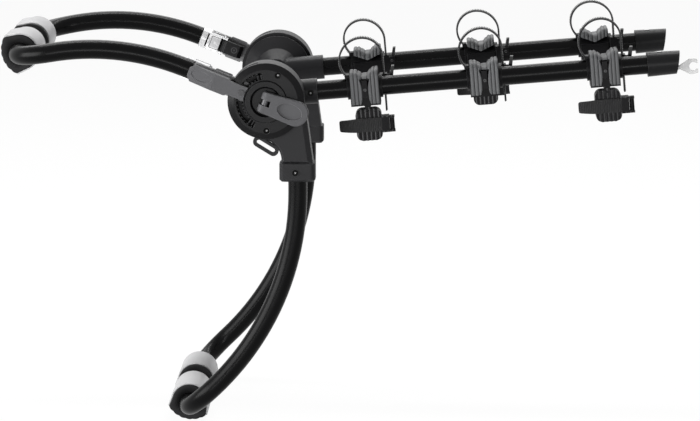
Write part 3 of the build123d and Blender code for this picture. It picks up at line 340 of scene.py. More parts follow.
pin_steel = finish("bright_zinc", (0.45, 0.45, 0.46), (0.8, 0.8, 0.8), 0.28, metal=1.0,
                   round_edge=0.0004, brushed=(60.0, 2200.0, 60.0), grain=0.1)
wear_on(pin_steel, "buckle_pins")
rivet_steel = finish("rivet_steel", (0.05, 0.05, 0.052), (0.3, 0.3, 0.3), 0.36, metal=0.0,
                     round_edge=0.0005, wear=1.0)
wear_on(rivet_steel, "plate_rivets")

# ---- Dial rails ---------------------------------------------------------------------------------
# The dial behind each window is two curved rails with a channel between them for the rivet. Their
# crests are broken by uneven teeth where the window shows them.


def grid_piece(name, points, material, wrap_rows=False, ends=False):
    """A mesh on a grid of points (rows, columns, 3): rings, joined or capped where asked."""
    rows, columns = points.shape[:2]
    index = np.arange(rows * columns).reshape(rows, columns)
    down = np.roll(index, -1, 0) if wrap_rows else index
    low, high = (index, down) if wrap_rows else (index[:-1], index[1:])
    low_next, high_next = np.roll(low, -1, 1), np.roll(high, -1, 1)
    faces = np.stack([low, low_next, high_next, high], -1).reshape(-1, 4).tolist()
    if ends:
        faces += [index[0, ::-1].tolist(), index[-1].tolist()]
    mesh = bpy.data.meshes.new(name)
    mesh.from_pydata(points.reshape(-1, 3).tolist(), [], faces)
    corner = np.array([place for face in faces for place in face])
    spread = np.stack([(corner % columns) / columns, (corner // columns) / max(rows - 1, 1)], -1)
    mesh.uv_layers.new(name="UVMap").data.foreach_set("uv", spread.ravel())
    mesh.validate()
    if signed_volume(points, faces) < 0:
        mesh.flip_normals()
    mesh.shade_smooth()
    mesh.materials.append(material)
    made = bpy.data.objects.new(name, mesh)
    bpy.context.scene.collection.objects.link(made)
    return made


def signed_volume(points, faces):
    """Six times the volume inside the four-sided faces, as tetrahedra from the origin."""
    flat = points.reshape(-1, 3)
    quads = np.array([face for face in faces if len(face) == 4])
    a, b, c, d = (flat[quads[:, k]] for k in range(4))
    return float((np.cross(a, b) * c).sum() + (np.cross(a, c) * d).sum())


LEG_PLANE = 179.0
RAIL_SPAN = (80.6, 261.4)
TOOTH_SPAN = (97.6, 243.4)
WINDOW_SPAN = (112.0, 229.0)


def rail_points(inner, outer, crest, base=11.6, low=17.35, high=24.6):
    """Curved rail: a box section whose crest rises over the strip between two radii.

    The crest is high where sin(41 t) + 0.55 sin(97 t + inner) is over 0.3 at the angle t, and low
    elsewhere.
    """
    angle = np.linspace(*RAIL_SPAN, 724)
    turn = np.radians(angle)
    wave = np.sin(turn * 41) + 0.55 * np.sin(turn * 97 + inner)
    toothed_part = (angle > TOOTH_SPAN[0]) & (angle < TOOTH_SPAN[1])
    raised = np.where((wave > 0.3) & toothed_part, high, low)
    outer = np.where((angle > WINDOW_SPAN[0]) & (angle < WINDOW_SPAN[1]), outer[0], outer[1])
    near, far = np.full_like(angle, inner), outer
    crest_near, crest_far = np.full_like(angle, crest[0]), np.minimum(crest[1], far)
    steps = [(near, base), (near, low), (crest_near, low), (crest_near, raised),
             (crest_far, raised), (crest_far, low), (far, low), (far, base)]
    radius = np.stack([step[0] for step in steps], 1)
    height = np.stack([step[1] + 0 * angle for step in steps], 1)
    return radius * np.cos(turn)[:, None], radius * np.sin(turn)[:, None], height


# The rail's near-black base is painted shade in the dial's deep notches and channel; the mask lays
# the lighter crest tone on top.
dial_plastic = finish("dial_plastic", (0.003, 0.003, 0.003), (0.01, 0.01, 0.01), 0.5,
                      round_edge=0.0005, wear=0.6, grain=0.3, fine=1400.0, dust=0.0, specular=0.06)
tree = dial_plastic.node_tree
outward = maths(tree, "ABSOLUTE", reach_along(tree, (0.0, 1.0, 0.0)))
crests = ramp(tree, outward, (LEG_PLANE + 22.0) * MM, (LEG_PLANE + 23.5) * MM)
tint(dial_plastic, crests, (0.03, 0.03, 0.031))
RAILS = (("inner", 31.2, (35.6, 40.9), (32.6, 41.0)), ("outer", 41.9, (46.8, 46.8), (41.9, 44.0)))
for side, sign in SIDES:
    for name, inner, outer, crest in RAILS:
        x, z, out = rail_points(inner, outer, crest)
        points = np.stack([HUB.x + x * MM, sign * (LEG_PLANE + out) * MM, HUB.z + z * MM], -1)
        rail = grid_piece(f"dial_rail_{name}_{side}", points, dial_plastic, ends=True)
        rail.data.shade_flat()
        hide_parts("dial_rings")
        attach(rail, "base")

# ---- Hub levers and side plates -----------------------------------------------------------------
# Grey glass-filled nylon: the cam levers with their thumb hollows, and the shoes that cover the
# upper leg roots and point at the dial.

lever_plastic = finish("lever_plastic", (0.075, 0.075, 0.079), (0.22, 0.22, 0.23), 0.4,
                       round_edge=0.001, wear=0.8, grain=0.15, fine=2400.0, specular=0.12)
wear_on(lever_plastic, "hub_lever_left", "hub_lever_right")
shoe_plastic = finish("shoe_plastic", (0.078, 0.078, 0.082), (0.22, 0.22, 0.23), 0.42,
                      round_edge=0.0008, wear=0.7, grain=0.15, fine=2400.0, specular=0.12)
wear_on(shoe_plastic, "side_plate_left", "side_plate_right")
bracket_coat = finish("bracket_coat", (0.17, 0.17, 0.173), (0.4, 0.4, 0.4), 0.42, round_edge=0.0008,
                      wear=0.7, grain=0.1)
wear_on(bracket_coat, "upper_bracket_left", "upper_bracket_right")

# ---- Strap buckles ------------------------------------------------------------------------------
# Nickel plated pressings round the upper leg roots, with a black cam block that clamps the
# webbing and a thin wire bail that keeps its free end.

LEG_TURN = math.radians(158.6)
nickel = finish("nickel_plate", (0.62, 0.62, 0.625), (0.85, 0.85, 0.85), 0.36, metal=0.35,
                round_edge=0.0004, grain=0.02, brushed=(500.0, 40.0, 500.0), dust=0.0,
                tone_depth=0.08, wear=0.0)


def boxed_line(material, along, across, line, colour):
    """Tint a rectangle's outline, each side given as (middle, half length) in mm on the leg."""
    tree = material.node_tree
    run, rise = math.cos(LEG_TURN), math.sin(LEG_TURN)
    edges = []
    for (middle, half), direction in ((along, (run, 0.0, rise)), (across, (-rise, 0.0, run))):
        centre = HUB.x * direction[0] + HUB.z * direction[2] + middle * MM
        shift = maths(tree, "SUBTRACT", reach_along(tree, direction), centre)
        edges.append(maths(tree, "SUBTRACT", maths(tree, "ABSOLUTE", shift), half * MM))
    outside = maths(tree, "MAXIMUM", *edges)
    near = ramp(tree, outside, -line * MM, -line * MM * 0.6)
    far = ramp(tree, outside, 0.0, line * MM * 0.4, 1.0, 0.0)
    tint(material, maths(tree, "MULTIPLY", near, far), colour)


boxed_line(nickel, (108.0, 7.0), (0.0, 7.0), 7.5, (0.38, 0.38, 0.385))
# The thin near-black line round the insert is painted shade in the gap between insert and frame.
boxed_line(nickel, (108.0, 7.8), (0.0, 9.8), 0.8, (0.03, 0.03, 0.03))
wear_on(nickel, "strap_buckle_left", "strap_buckle_right")
cam_plastic = finish("cam_plastic", (0.008, 0.008, 0.0085), (0.07, 0.07, 0.073), 0.36,
                     round_edge=0.001, wear=0.8, grain=0.16, fine=2400.0, dust=0.01, specular=0.1)
BOSS = (HUB.x + 0.0753 * math.cos(LEG_TURN), HUB.z + 0.0753 * math.sin(LEG_TURN))
# Painted highlights: a light ring round the rim of the cam's boss and a light spot in its middle.
glint(cam_plastic, [BOSS], (0.06, 0.06, 0.062), 0.0052, hollow=0.0036)
glint(cam_plastic, [BOSS], (0.05, 0.05, 0.052), 0.0017)
wear_on(cam_plastic, "buckle_cam_left", "buckle_cam_right")

# ---- Bracket wings ------------------------------------------------------------------------------
# The steel leaf widens to a plate beside each hub rim, behind the cam block. Its edge shows above
# the leg on the near side.


def on_leg(local, sign):
    """Turn points (along the leg, across, out) into the rack's frame."""
    along, across, out = local[..., 0] * MM, local[..., 1] * MM, local[..., 2] * MM
    x = HUB.x + along * math.cos(LEG_TURN) - across * math.sin(LEG_TURN)
    z = HUB.z + along * math.sin(LEG_TURN) + across * math.cos(LEG_TURN)
    return np.stack([x, sign * (LEG_PLANE * MM + out), z], -1)


def slab_points(corners, low, high, soft=0.4, round_corner=3.0):
    """A flat plate: a polygon with rounded corners, at two heights, its edges drawn in by soft."""
    corners = np.array(corners, float)
    ring = []
    for before, corner, after in zip(np.roll(corners, 1, 0), corners, np.roll(corners, -1, 0)):
        to_before = (before - corner) / np.linalg.norm(before - corner)
        to_after = (after - corner) / np.linalg.norm(after - corner)
        for step in np.linspace(0, 1, 7):
            bend = to_before * (1 - step) ** 2 + to_after * step ** 2
            ring.append(corner + round_corner * bend)
    ring = np.array(ring)
    middle = ring.mean(0)
    unit = (ring - middle) / np.linalg.norm(ring - middle, axis=1, keepdims=True)
    rows = [(low, soft), (low + soft, 0.0), (high - soft, 0.0), (high, soft)]
    return np.stack([np.concatenate([ring - unit * inset, np.full((len(ring), 1), height)], 1)
                     for height, inset in rows])


WING = ((59.2, -17.2), (86.5, -17.4), (86.5, 17.4), (59.2, 17.2))
for side, sign in SIDES:
    wing = grid_piece(f"bracket_wing_{side}", on_leg(slab_points(WING, 3.2, 6.2), sign),
                      bracket_coat, ends=True)
    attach(wing, "upper_frame")

# ---- Arm sockets and end caps -------------------------------------------------------------------
# The arm sockets are cast alloy under a satin black coat. The caps are soft black mouldings
# pushed on the arms' ends.

socket_coat = finish("socket_coat", (0.011, 0.011, 0.012), (0.12, 0.12, 0.12), 0.38,
                     round_edge=0.0012, wear=0.6, grain=0.14, fine=1800.0, specular=0.12)
wear_on(socket_coat, "arm_bracket_left", "arm_bracket_right")
cap_plastic = finish("cap_plastic", (0.008, 0.008, 0.0085), (0.07, 0.07, 0.07), 0.36,
                     round_edge=0.001, wear=0.4, grain=0.12, fine=2600.0, specular=0.1, dust=0.01)
wear_on(cap_plastic, "arm_cap_left", "arm_cap_right")

# ---- Lock cable and fork ------------------------------------------------------------------------
# A sheathed steel cable that stays in the left arm, with a pressed and plated fork on its end. The
# fork's edges get a dark worn tone, a painted shade for the dark outline round the fork.

sheath = finish("cable_sheath", (0.02, 0.02, 0.02), (0.05, 0.05, 0.05), 0.45)
wear_on(sheath, "lock_cable")
# Its dark worn tone lays painted shade along the fork's edges.
fork_plate = finish("fork_plate", (0.68, 0.68, 0.68), (0.09, 0.09, 0.09), 0.42, round_edge=0.0005,
                    wear=1.2, grain=0.05, dust=0.0, specular=0.2, tone_depth=0.08)
wear_on(fork_plate, "lock_fork")

# ---- Pads ---------------------------------------------------------------------------------------
# Moulded black rubber, slid on the cross tubes. The edge that meets the car is scalloped, the
# corners are soft, and the bore grips the tube.

UPPER_CROSS = (HUB.x - 377.181 * MM, HUB.z + 59.666 * MM)
LOWER_CROSS = (HUB.x - 125.127 * MM, HUB.z - 482.986 * MM)
PAD_CORNER, PAD_DEPTH, PAD_REACH, PAD_BACK = 29.5, 14.5, 27.5, 27.5


def back_curve():
    """Right flank and round back of a pad."""
    flank = np.linspace([PAD_CORNER, -PAD_DEPTH], [PAD_BACK, 0], 8, endpoint=False)
    turn = np.linspace(0, math.pi, 60)
    return flank, np.stack([PAD_BACK * np.cos(turn), PAD_BACK * np.sin(turn)], -1)


def pad_outline(scallops=6, per_scallop=12):
    """Closed outline of a pad in its own plane, contact edge towards -y.

    The contact edge is an arc with a rise of half a sine over each scallop; two flanks lead to the
    round back.
    """
    rise = PAD_REACH - PAD_DEPTH
    radius = (PAD_CORNER ** 2 + rise ** 2) / (2 * rise)
    half = math.asin(PAD_CORNER / radius)
    turn = np.linspace(-half, half, scallops * per_scallop + 1)
    bump = 0.9 * np.abs(np.sin(np.linspace(0, scallops * math.pi, turn.size)))
    contact = np.stack([(radius + bump) * np.sin(turn),
                        radius - PAD_REACH - (radius + bump) * np.cos(turn)], -1)
    flank, top = back_curve()
    return np.concatenate([contact, flank[1:], top, flank[:0:-1] * [-1, 1]])


def placed(local, cross, contact_angle):
    """Turn points (across, depth, along) of a cross-tube piece into the rack's frame."""
    turn = math.radians(contact_angle - 270)
    across, depth, along = local[..., 0] * MM, local[..., 1] * MM, local[..., 2] * MM
    x = cross[0] + across * math.cos(turn) - depth * math.sin(turn)
    z = cross[1] + across * math.sin(turn) + depth * math.cos(turn)
    return np.stack([x, along, z], -1)


def pad_points(outline, start, end, bore=14.4, soft=2.2):
    """Outline carried along the tube, its ends rounded over by soft, and closed by the bore."""
    quarter = np.linspace(0, math.pi / 2, 6)
    inset = soft * (1 - np.sin(quarter))
    length = soft * (1 - np.cos(quarter))
    stations = np.concatenate([start + length, end - length[::-1]])
    insets = np.concatenate([inset, inset[::-1]])
    reach = np.linalg.norm(outline, axis=1, keepdims=True)
    unit = outline / reach
    shells = [(unit * bore, stations[0])]
    shells += [(unit * (reach - drawn), station) for station, drawn in zip(stations, insets)]
    shells.append((unit * bore, stations[-1]))
    return np.stack([np.concatenate([ring, np.full((len(outline), 1), station)], 1)
                     for ring, station in shells])


pad_rubber = finish("pad_rubber", (0.013, 0.013, 0.0135), (0.04, 0.04, 0.04), 0.6,
                    round_edge=0.0008, grain=0.3, fine=1300.0, dust=0.02, specular=0.12)
PADS = (("upper", UPPER_CROSS, 198.0, "upper_frame"), ("lower", LOWER_CROSS, 256.0, "base"))
PAD_START, PAD_END, INNER_RIM, OUTER_RIM = 20.0, 108.0, 5.5, 0.8
for level, cross, contact_angle, body in PADS:
    for side, sign in SIDES:
        local = pad_points(pad_outline(), PAD_START, PAD_END)
        local[..., 2] *= sign
        pad = grid_piece(f"{level}_pad_rubber_{side}", placed(local, cross, contact_angle),
                         pad_rubber, wrap_rows=True)
        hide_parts(f"{level}_pad_{side}")
        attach(pad, body)

# ---- Pad bands ----------------------------------------------------------------------------------
# A light grey band of hard foam skin is bonded over the back and flanks of each pad. It stops
# short of both ends, so a black rim of rubber shows.

band_skin = finish("band_skin", (0.41, 0.41, 0.415), (0.85, 0.85, 0.85), 0.42, round_edge=0.0005,
                   grain=0.18, fine=900.0, dust=0.0, wear=0.3, tone_depth=0.1)


def band_points(start, end, thickness=1.6):
    """Strip over the back of the pad from corner to corner, thickened, with soft edges."""
    flank, top = back_curve()
    path = np.concatenate([flank, top, flank[::-1] * [-1, 1]])
    tangent = np.gradient(path, axis=0)
    normal = np.stack([tangent[:, 1], -tangent[:, 0]], -1)
    normal /= np.linalg.norm(normal, axis=1, keepdims=True)
    soft, sunk = 0.7, -0.4
    shoulder = thickness - soft * 0.3
    ring = [(start, sunk), (start, thickness - soft), (start + soft * 0.3, shoulder),
            (start + soft, thickness), (end - soft, thickness), (end - soft * 0.3, shoulder),
            (end, thickness - soft), (end, sunk)]
    columns = [np.concatenate([path + normal * lift, np.full((len(path), 1), along)], 1)
               for along, lift in ring]
    return np.stack(columns, 1)


for level, cross, contact_angle, body in PADS:
    for side, sign in SIDES:
        local = band_points(PAD_START + INNER_RIM, PAD_END - OUTER_RIM)
        local[..., 2] *= sign
        band = grid_piece(f"{level}_band_{side}", placed(local, cross, contact_angle), band_skin,
                          ends=True)
        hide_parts(f"{level}_sleeves")
        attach(band, body)

# ---- Cradle saddles -----------------------------------------------------------------------------
# Grey ribbed rubber saddles snapped over the black cradle bodies. The ribs run across the arm,
# over the shallow vee and down two bands outside, and a short vee-shaped skirt hangs inside.

ARM_RISE = math.radians(4.8)
ARM_PLANE = 131.0
CRADLES = tuple(146.3 + 180.0 * index for index in range(3))


def on_arm(local, sign):
    """Turn points (along, up, out) of an arm piece into the rack's frame."""
    along, up, out = local[..., 0] * MM, local[..., 1] * MM, local[..., 2] * MM
    x = HUB.x + along * math.cos(ARM_RISE) - up * math.sin(ARM_RISE)
    z = HUB.z + along * math.sin(ARM_RISE) + up * math.cos(ARM_RISE)
    return np.stack([x, sign * (ARM_PLANE * MM + out), z], -1)


def ease(value, low, high):
    """Smooth step from 0 at low to 1 at high."""
    share = np.clip((value - low) / (high - low), 0, 1)
    return share * share * (3 - 2 * share)


GROOVES = (-21.4, -15.5, -9.7, -3.8, 4.8, 10.3, 15.9, 21.4)
VEE_FLOOR, LOW_HORN, HIGH_HORN = 19.6, 6.4, 8.6
RIB_DEPTH, SADDLE_HALF, SADDLE_FOOT, SHOULDER = 1.5, 25.2, 23.0, 8.0


def split_open(out, w, u):
    """Draw the outer side in where the split is: 4.3 mm half wide, and wider by a parabola."""
    narrow = 4.3 + 3.0 * ((w + 5) / 18) ** 2
    gap = (1 - ease(np.abs(u - 0.5), narrow - 0.6, narrow + 0.4)) * (1 - ease(w, 13.6, 15.2))
    floor = 16.0 - 0.4 * np.clip(w, 0, 13)
    return out - np.maximum(out - floor, 0) * gap, w


def saddle_points(per_rib=14):
    """Saddle surface: a front profile carried along the arm.

    Height follows the vee. Seven ribs lie between the grooves, each a root of a half sine. The
    outer side is split by a gap that is narrowest half way up, and the inner skirt ends in a vee.
    """
    share = np.linspace(0, 7, 7 * per_rib + 1)
    u = np.interp(share, range(8), GROOVES)
    bump = np.sqrt(np.abs(np.sin(share * math.pi)))
    horn = np.where(u < 0, LOW_HORN, HIGH_HORN)
    top = VEE_FLOOR + horn * ease(np.abs(u), 1.0, 15.0)
    rib = RIB_DEPTH * (bump - 1)
    shoulder = top - SHOULDER
    half = SADDLE_HALF + rib
    skirt = np.minimum(8.0 + 9.0 * np.abs(u) / GROOVES[-1], shoulder - 0.5)
    flank = [-SADDLE_FOOT + (shoulder + SADDLE_FOOT) * step for step in np.linspace(0, 1, 17)]
    round_over = [(half - SHOULDER + SHOULDER * math.cos(angle),
                   shoulder + (top + rib - shoulder) * math.sin(angle))
                  for angle in np.linspace(0, math.pi / 2, 9)[1:]]
    profile = [split_open(out, w, u) for out, w in [(half + 0 * w, w) for w in flank] + round_over]
    for step in np.linspace(0.1, 0.9, 7):
        profile.append((17.0 - 34.0 * step + 0 * u, top + rib))
    profile += [(-out, w) for out, w in round_over[::-1]]
    for step in np.linspace(0, 1, 6):
        profile.append((-half, shoulder + (skirt - shoulder) * step))
    under = [(-22.4, skirt), (-14.0, np.maximum(skirt - 1, 11.5)),
             (-8.0, np.maximum(skirt - 0.5, 16.0)), (0.0, 17.6), (8.0, 16.0), (13.0, 12.2),
             (15.6, 3.0), (15.6, -22.6)]
    profile += [(out + 0 * u, w + 0 * u) for out, w in under]
    out = np.stack([spot[0] for spot in profile], 1)
    w = np.stack([spot[1] for spot in profile], 1)
    return np.stack([np.repeat(u[:, None], out.shape[1], 1), w, out], -1)


# The saddle's groove colour is painted shade in the creases between its ribs.
saddle_rubber = finish("saddle_rubber", (0.105, 0.107, 0.11), (0.26, 0.26, 0.27), 0.58,
                       round_edge=0.0005, grain=0.25, fine=1500.0, dust=0.06, specular=0.18,
                       wear=0.4, grooves=(7, (0.035, 0.035, 0.037), 0.5))
for side, sign in SIDES:
    for count, place in enumerate(CRADLES, 1):
        local = saddle_points()
        local[..., 0] += place
        saddle = grid_piece(f"saddle_{side}_{count}", on_arm(local, sign), saddle_rubber, ends=True)
        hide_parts(f"cradle_pads_{side}")
        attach(saddle, f"arm_{side}")

# ---- Clamp screws -------------------------------------------------------------------------------
# A dark pan head screw in each cradle's gap pulls the body tight on the arm. Its socket is worn.


def lathe_points(profile, around=28):
    """Rows of (radius, height) turned about an axis: a ring of points for each row."""
    turn = np.linspace(0, 2 * math.pi, around, endpoint=False)
    rows = [np.stack([radius * np.cos(turn), radius * np.sin(turn), np.full(around, height)], -1)
            for radius, height in profile]
    return np.stack(rows)


SCREW_PROFILE = ((2.5, 23.4), (2.5, 24.8), (2.2, 25.2), (1.5, 25.4), (1.3, 25.3), (1.2, 24.5),
                 (0.05, 24.4))
SCREW_SHIFT = (0.5, -1.4)
clamp_zinc = finish("clamp_zinc", (0.06, 0.06, 0.062), (0.3, 0.3, 0.3), 0.36, round_edge=0.0003,
                    wear=1.0)
for side, sign in SIDES:
    for count, place in enumerate(CRADLES, 1):
        local = lathe_points(SCREW_PROFILE)
        local[..., :2] += place + SCREW_SHIFT[0], SCREW_SHIFT[1]
        screw = grid_piece(f"clamp_screw_{side}_{count}", on_arm(local, sign), clamp_zinc,
                           ends=True)
        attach(screw, f"arm_{side}")

# ---- Lock cylinder ------------------------------------------------------------------------------
# The key cylinder sits in the right arm's cap, just inside its slanted end, with a groove round
# the plug that the key turns.

CYLINDER_PROFILE = ((0.05, 599.0), (6.6, 599.0), (7.0, 599.4), (7.0, 613.1), (6.6, 613.5),
                    (3.9, 613.5), (3.8, 612.5), (3.4, 612.5), (3.3, 613.5), (0.05, 613.5))
local = np.roll(lathe_points(CYLINDER_PROFILE), 1, -1)
cylinder = grid_piece("lock_cylinder_right", on_arm(local, 1.0), rivet_steel, ends=True)
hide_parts("lock_core")
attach(cylinder, "arm_right")

# ---- Cradle bodies, buckles and cages -----------------------------------------------------------
# Black glass-filled nylon: the clamped cradle bodies with their ratchet housings, the grooved
# anti-sway cages and their levers. The small ratchet levers are dark grey.

cradle_plastic = finish("cradle_plastic", (0.0045, 0.0045, 0.005), (0.05, 0.05, 0.052), 0.4,
                        round_edge=0.001, wear=0.6, grain=0.14, fine=2400.0, specular=0.07,
                        dust=0.01)
wear_on(cradle_plastic, "cradle_bases_left", "cradle_bases_right")
cage_plastic = finish("cage_plastic", (0.0035, 0.0035, 0.004), (0.07, 0.07, 0.072), 0.36,
                      round_edge=0.0009, wear=0.8, grain=0.14, fine=2400.0, specular=0.06,
                      dust=0.01)
# The cage's light slat stripes are painted highlights on its ribs.
CAGE_PITCH = 6.5
SLAT_HIGHLIGHT = (0.075, 0.075, 0.077)


def paint_slat_highlights(material):
    """Painted highlights: light stripes above and below the strap, where the cosine of the place on
    the arm is low.
    """
    tree = material.node_tree
    rise, run = math.sin(ARM_RISE), math.cos(ARM_RISE)
    first = run * HUB.x + rise * HUB.z + (CRADLES[0] + 0.7) * MM
    phase = maths(tree, "SUBTRACT", reach_along(tree, (run, 0.0, rise)), first)
    wave = maths(tree, "COSINE", maths(tree, "MULTIPLY", phase, 2 * math.pi / (CAGE_PITCH * MM)))
    slat = ramp(tree, wave, -0.35, -0.8)
    level = run * HUB.z - rise * HUB.x
    height = reach_along(tree, (-rise, 0.0, run))
    below = ramp(tree, height, level - 0.0655, level - 0.0675)
    above = ramp(tree, height, level - 0.046, level - 0.044)
    tint(material, maths(tree, "MULTIPLY", slat, maths(tree, "MAXIMUM", below, above)), SLAT_HIGHLIGHT)


paint_slat_highlights(cage_plastic)
SWAYS = (("left", -1.0, 1), ("left", -1.0, 3), ("right", 1.0, 2))
for side, sign, count in SWAYS:
    wear_on(cage_plastic, f"sway_cage_{side}_{count}", f"sway_lever_{side}_{count}")
ratchet_plastic = finish("ratchet_plastic", (0.02, 0.02, 0.021), (0.3, 0.3, 0.3), 0.38,
                         round_edge=0.0006, wear=0.7)
for side, sign in SIDES:
    wear_on(ratchet_plastic, *[f"ratchet_lever_{side}_{count}" for count in (1, 2, 3)])

# ---- Cradle straps ------------------------------------------------------------------------------
# Moulded black rubber straps, toothed outside like a ladder. Each is hooked on the lug at one end
# of its cradle, bends over in a loop and goes down through the ratchet beside the arm.

LOOP_PLACE, LOOP_HEIGHT, LOOP_RADIUS, LOOP_START, TAIL_END = -3.0, 40.0, 32.6, 221.5, -40.5
STRAP_WIDTHS = ((0.0, 16.6), (1.0, 16.6))
TOOTH_PITCH = 2.6


def toothed(path, outward, sideways, widths, tooth_pitch, thickness=2.8, tooth=1.5):
    """A strap round a path: a rounded rectangle whose outer face rises and falls by a tooth wave.

    Widths are rows of (share of the length, width). The path is drawn again in even steps, so that
    the surface map runs evenly along the strap.
    """
    length = np.concatenate([[0], np.cumsum(np.linalg.norm(np.diff(path, axis=0), axis=1))])
    teeth = max(int(length[-1] / tooth_pitch), 1)
    even = np.linspace(0, length[-1], teeth * 6 + 1)
    path = np.stack([np.interp(even, length, path[:, k]) for k in range(3)], -1)
    outward = np.stack([np.interp(even, length, outward[:, k]) for k in range(3)], -1)
    wave = (np.abs(np.sin(even / length[-1] * teeth * math.pi)) > 0.7).astype(float)
    half, core = np.interp(even / length[-1], *zip(*widths)) / 2, thickness / 2
    section = [(-half, -core + 0.3), (-half + 0.3, -core), (half - 0.3, -core), (half, -core + 0.3),
               (half, None), (half - 0.4, None), (-half + 0.4, None), (-half, None)]
    columns = []
    for side_place, lift in section:
        height = np.full(len(path), lift) if lift is not None else core - tooth + tooth * wave
        columns.append(path + outward * height[:, None] + sideways * side_place[:, None])
    return np.stack(columns, 1)


def cradle_strap_points():
    """Loop from the lug over the top, then straight down, sliding across the arm as it goes."""
    turn = np.radians(np.linspace(LOOP_START, 0, 230))
    round_loop = np.stack([np.cos(turn), np.sin(turn)], -1)
    arc = np.array([LOOP_PLACE, LOOP_HEIGHT]) + LOOP_RADIUS * round_loop
    run = np.linspace(LOOP_HEIGHT, TAIL_END, 88)[1:]
    tail = np.stack([np.full_like(run, LOOP_PLACE + LOOP_RADIUS), run], -1)
    path = np.concatenate([arc, tail])
    outward = np.concatenate([round_loop, np.tile([1.0, 0.0], (len(run), 1))])
    across = -13.3 - 0.3857 * (path[:, 0] - 0.3) - 0.12 * (path[:, 1] - 8.0)
    path = np.concatenate([path, across[:, None]], 1)
    outward = np.concatenate([outward, np.zeros((len(outward), 1))], 1)
    return toothed(path, outward, np.array([0.0, 0.0, 1.0]), STRAP_WIDTHS, TOOTH_PITCH)


# The groove colour is painted shade in the gaps between the teeth on every strap of this rubber, so
# the tooth tops read lighter.
strap_rubber = finish("strap_rubber", (0.02, 0.02, 0.021), (0.1, 0.1, 0.1), 0.5, round_edge=0.0003,
                      grain=0.15, fine=1600.0, wear=0.8, dust=0.02,
                      grooves=(80, (0.006, 0.006, 0.006), 0.6))
for side, sign in SIDES:
    for count, place in enumerate(CRADLES, 1):
        local = cradle_strap_points()
        local[..., 0] += place
        strap = grid_piece(f"cradle_strap_{side}_{count}", on_arm(local, sign), strap_rubber,
                           ends=True)
        strap.data.shade_flat()
        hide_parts(f"cradle_straps_{side}")
        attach(strap, f"arm_{side}")

# ---- Anti-sway straps ---------------------------------------------------------------------------
# Wider straps of the same rubber round each cage, toothed across the front. The free end narrows
# to a rounded tip and bends back behind the frame that it will hold.

SWAY_WIDTHS = ((0.0, 17.6), (0.14, 17.6), (0.2, 20.8), (0.66, 20.8), (0.95, 17.4), (0.97, 16.8),
               (0.985, 15.2), (0.995, 12.8), (1.0, 10.0))
SWAY_RUN = (32.6, -18.0)
SWAY_DROP, CAGE_FRONT, SWAY_CURL, SWAY_TURN = -56.0, 15.3, 44.0, 34.0


def sway_band_points():
    """Flat run across the cage, then an arc of 34 degrees that bends back."""
    run = np.linspace(*SWAY_RUN, 60)
    bend = np.radians(np.linspace(0, SWAY_TURN, 40)[1:])
    along = np.concatenate([run, SWAY_RUN[1] - SWAY_CURL * np.sin(bend)])
    out = CAGE_FRONT + np.concatenate([np.zeros_like(run), -SWAY_CURL * (1 - np.cos(bend))])
    bend = np.concatenate([np.zeros_like(run), bend])
    path = np.stack([along, np.full_like(along, SWAY_DROP), out], -1)
    outward = np.stack([-np.sin(bend), np.zeros_like(bend), np.cos(bend)], -1)
    return toothed(path, outward, np.array([0.0, 1.0, 0.0]), SWAY_WIDTHS, TOOTH_PITCH,
                   thickness=2.4, tooth=0.7)


for side, sign, count in SWAYS:
    local = sway_band_points()
    local[..., 0] += CRADLES[count - 1]
    strap = grid_piece(f"sway_band_{side}_{count}", on_arm(local, sign), strap_rubber, ends=True)
    strap.data.shade_flat()
    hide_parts(f"sway_strap_{side}_{count}")
    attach(strap, f"sway_cage_{side}_{count}")

# ---- Wire bails ---------------------------------------------------------------------------------
# A bent spring wire on each strap buckle holds the webbing's free end against the frame.


def wire_points(corners, radius, around=10, per_leg=14):
    """A round wire through corner points, its corners smoothed by averaging along the path."""
    corners = np.array(corners, float)
    legs = [np.linspace(a, b, per_leg, endpoint=False) for a, b in zip(corners[:-1], corners[1:])]
    path = np.concatenate(legs + [corners[-1:]])
    for _ in range(12):
        path[1:-1] = (path[:-2] + path[1:-1] * 2 + path[2:]) / 4
    tangent = np.gradient(path, axis=0)
    tangent /= np.linalg.norm(tangent, axis=1, keepdims=True)
    side = np.cross(tangent, [0.3, 0.2, 1.0])
    side /= np.linalg.norm(side, axis=1, keepdims=True)
    other = np.cross(tangent, side)
    turn = np.linspace(0, 2 * math.pi, around, endpoint=False)
    cosine, sine = np.cos(turn)[:, None], np.sin(turn)[:, None]
    return path[:, None] + (side[:, None] * cosine + other[:, None] * sine) * radius


bail_wire = finish("bail_wire", (0.6, 0.6, 0.605), (0.6, 0.6, 0.6), 0.3, metal=0.3,
                   round_edge=0.0001, grain=0.0, dust=0.0, wear=0.0)
BAIL_CORNERS = ((119.0, -12.4, -13.0), (119.0, -15.6, -13.0), (110.0, -16.2, -10.0),
                (96.0, -16.6, -8.0), (95.0, -14.6, -8.0))
BAIL_RADIUS = 0.7
for side, sign in SIDES:
    wire = wire_points(BAIL_CORNERS, BAIL_RADIUS)
    bail = grid_piece(f"wire_bail_{side}", on_leg(wire, sign), bail_wire, ends=True)
    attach(bail, "upper_frame")

# ---- Studio -------------------------------------------------------------------------------------
# A pale floor that fades into the same pale surround, four soft lamps and the camera at the
# photograph's angle. The image is taken as 700 by 421.

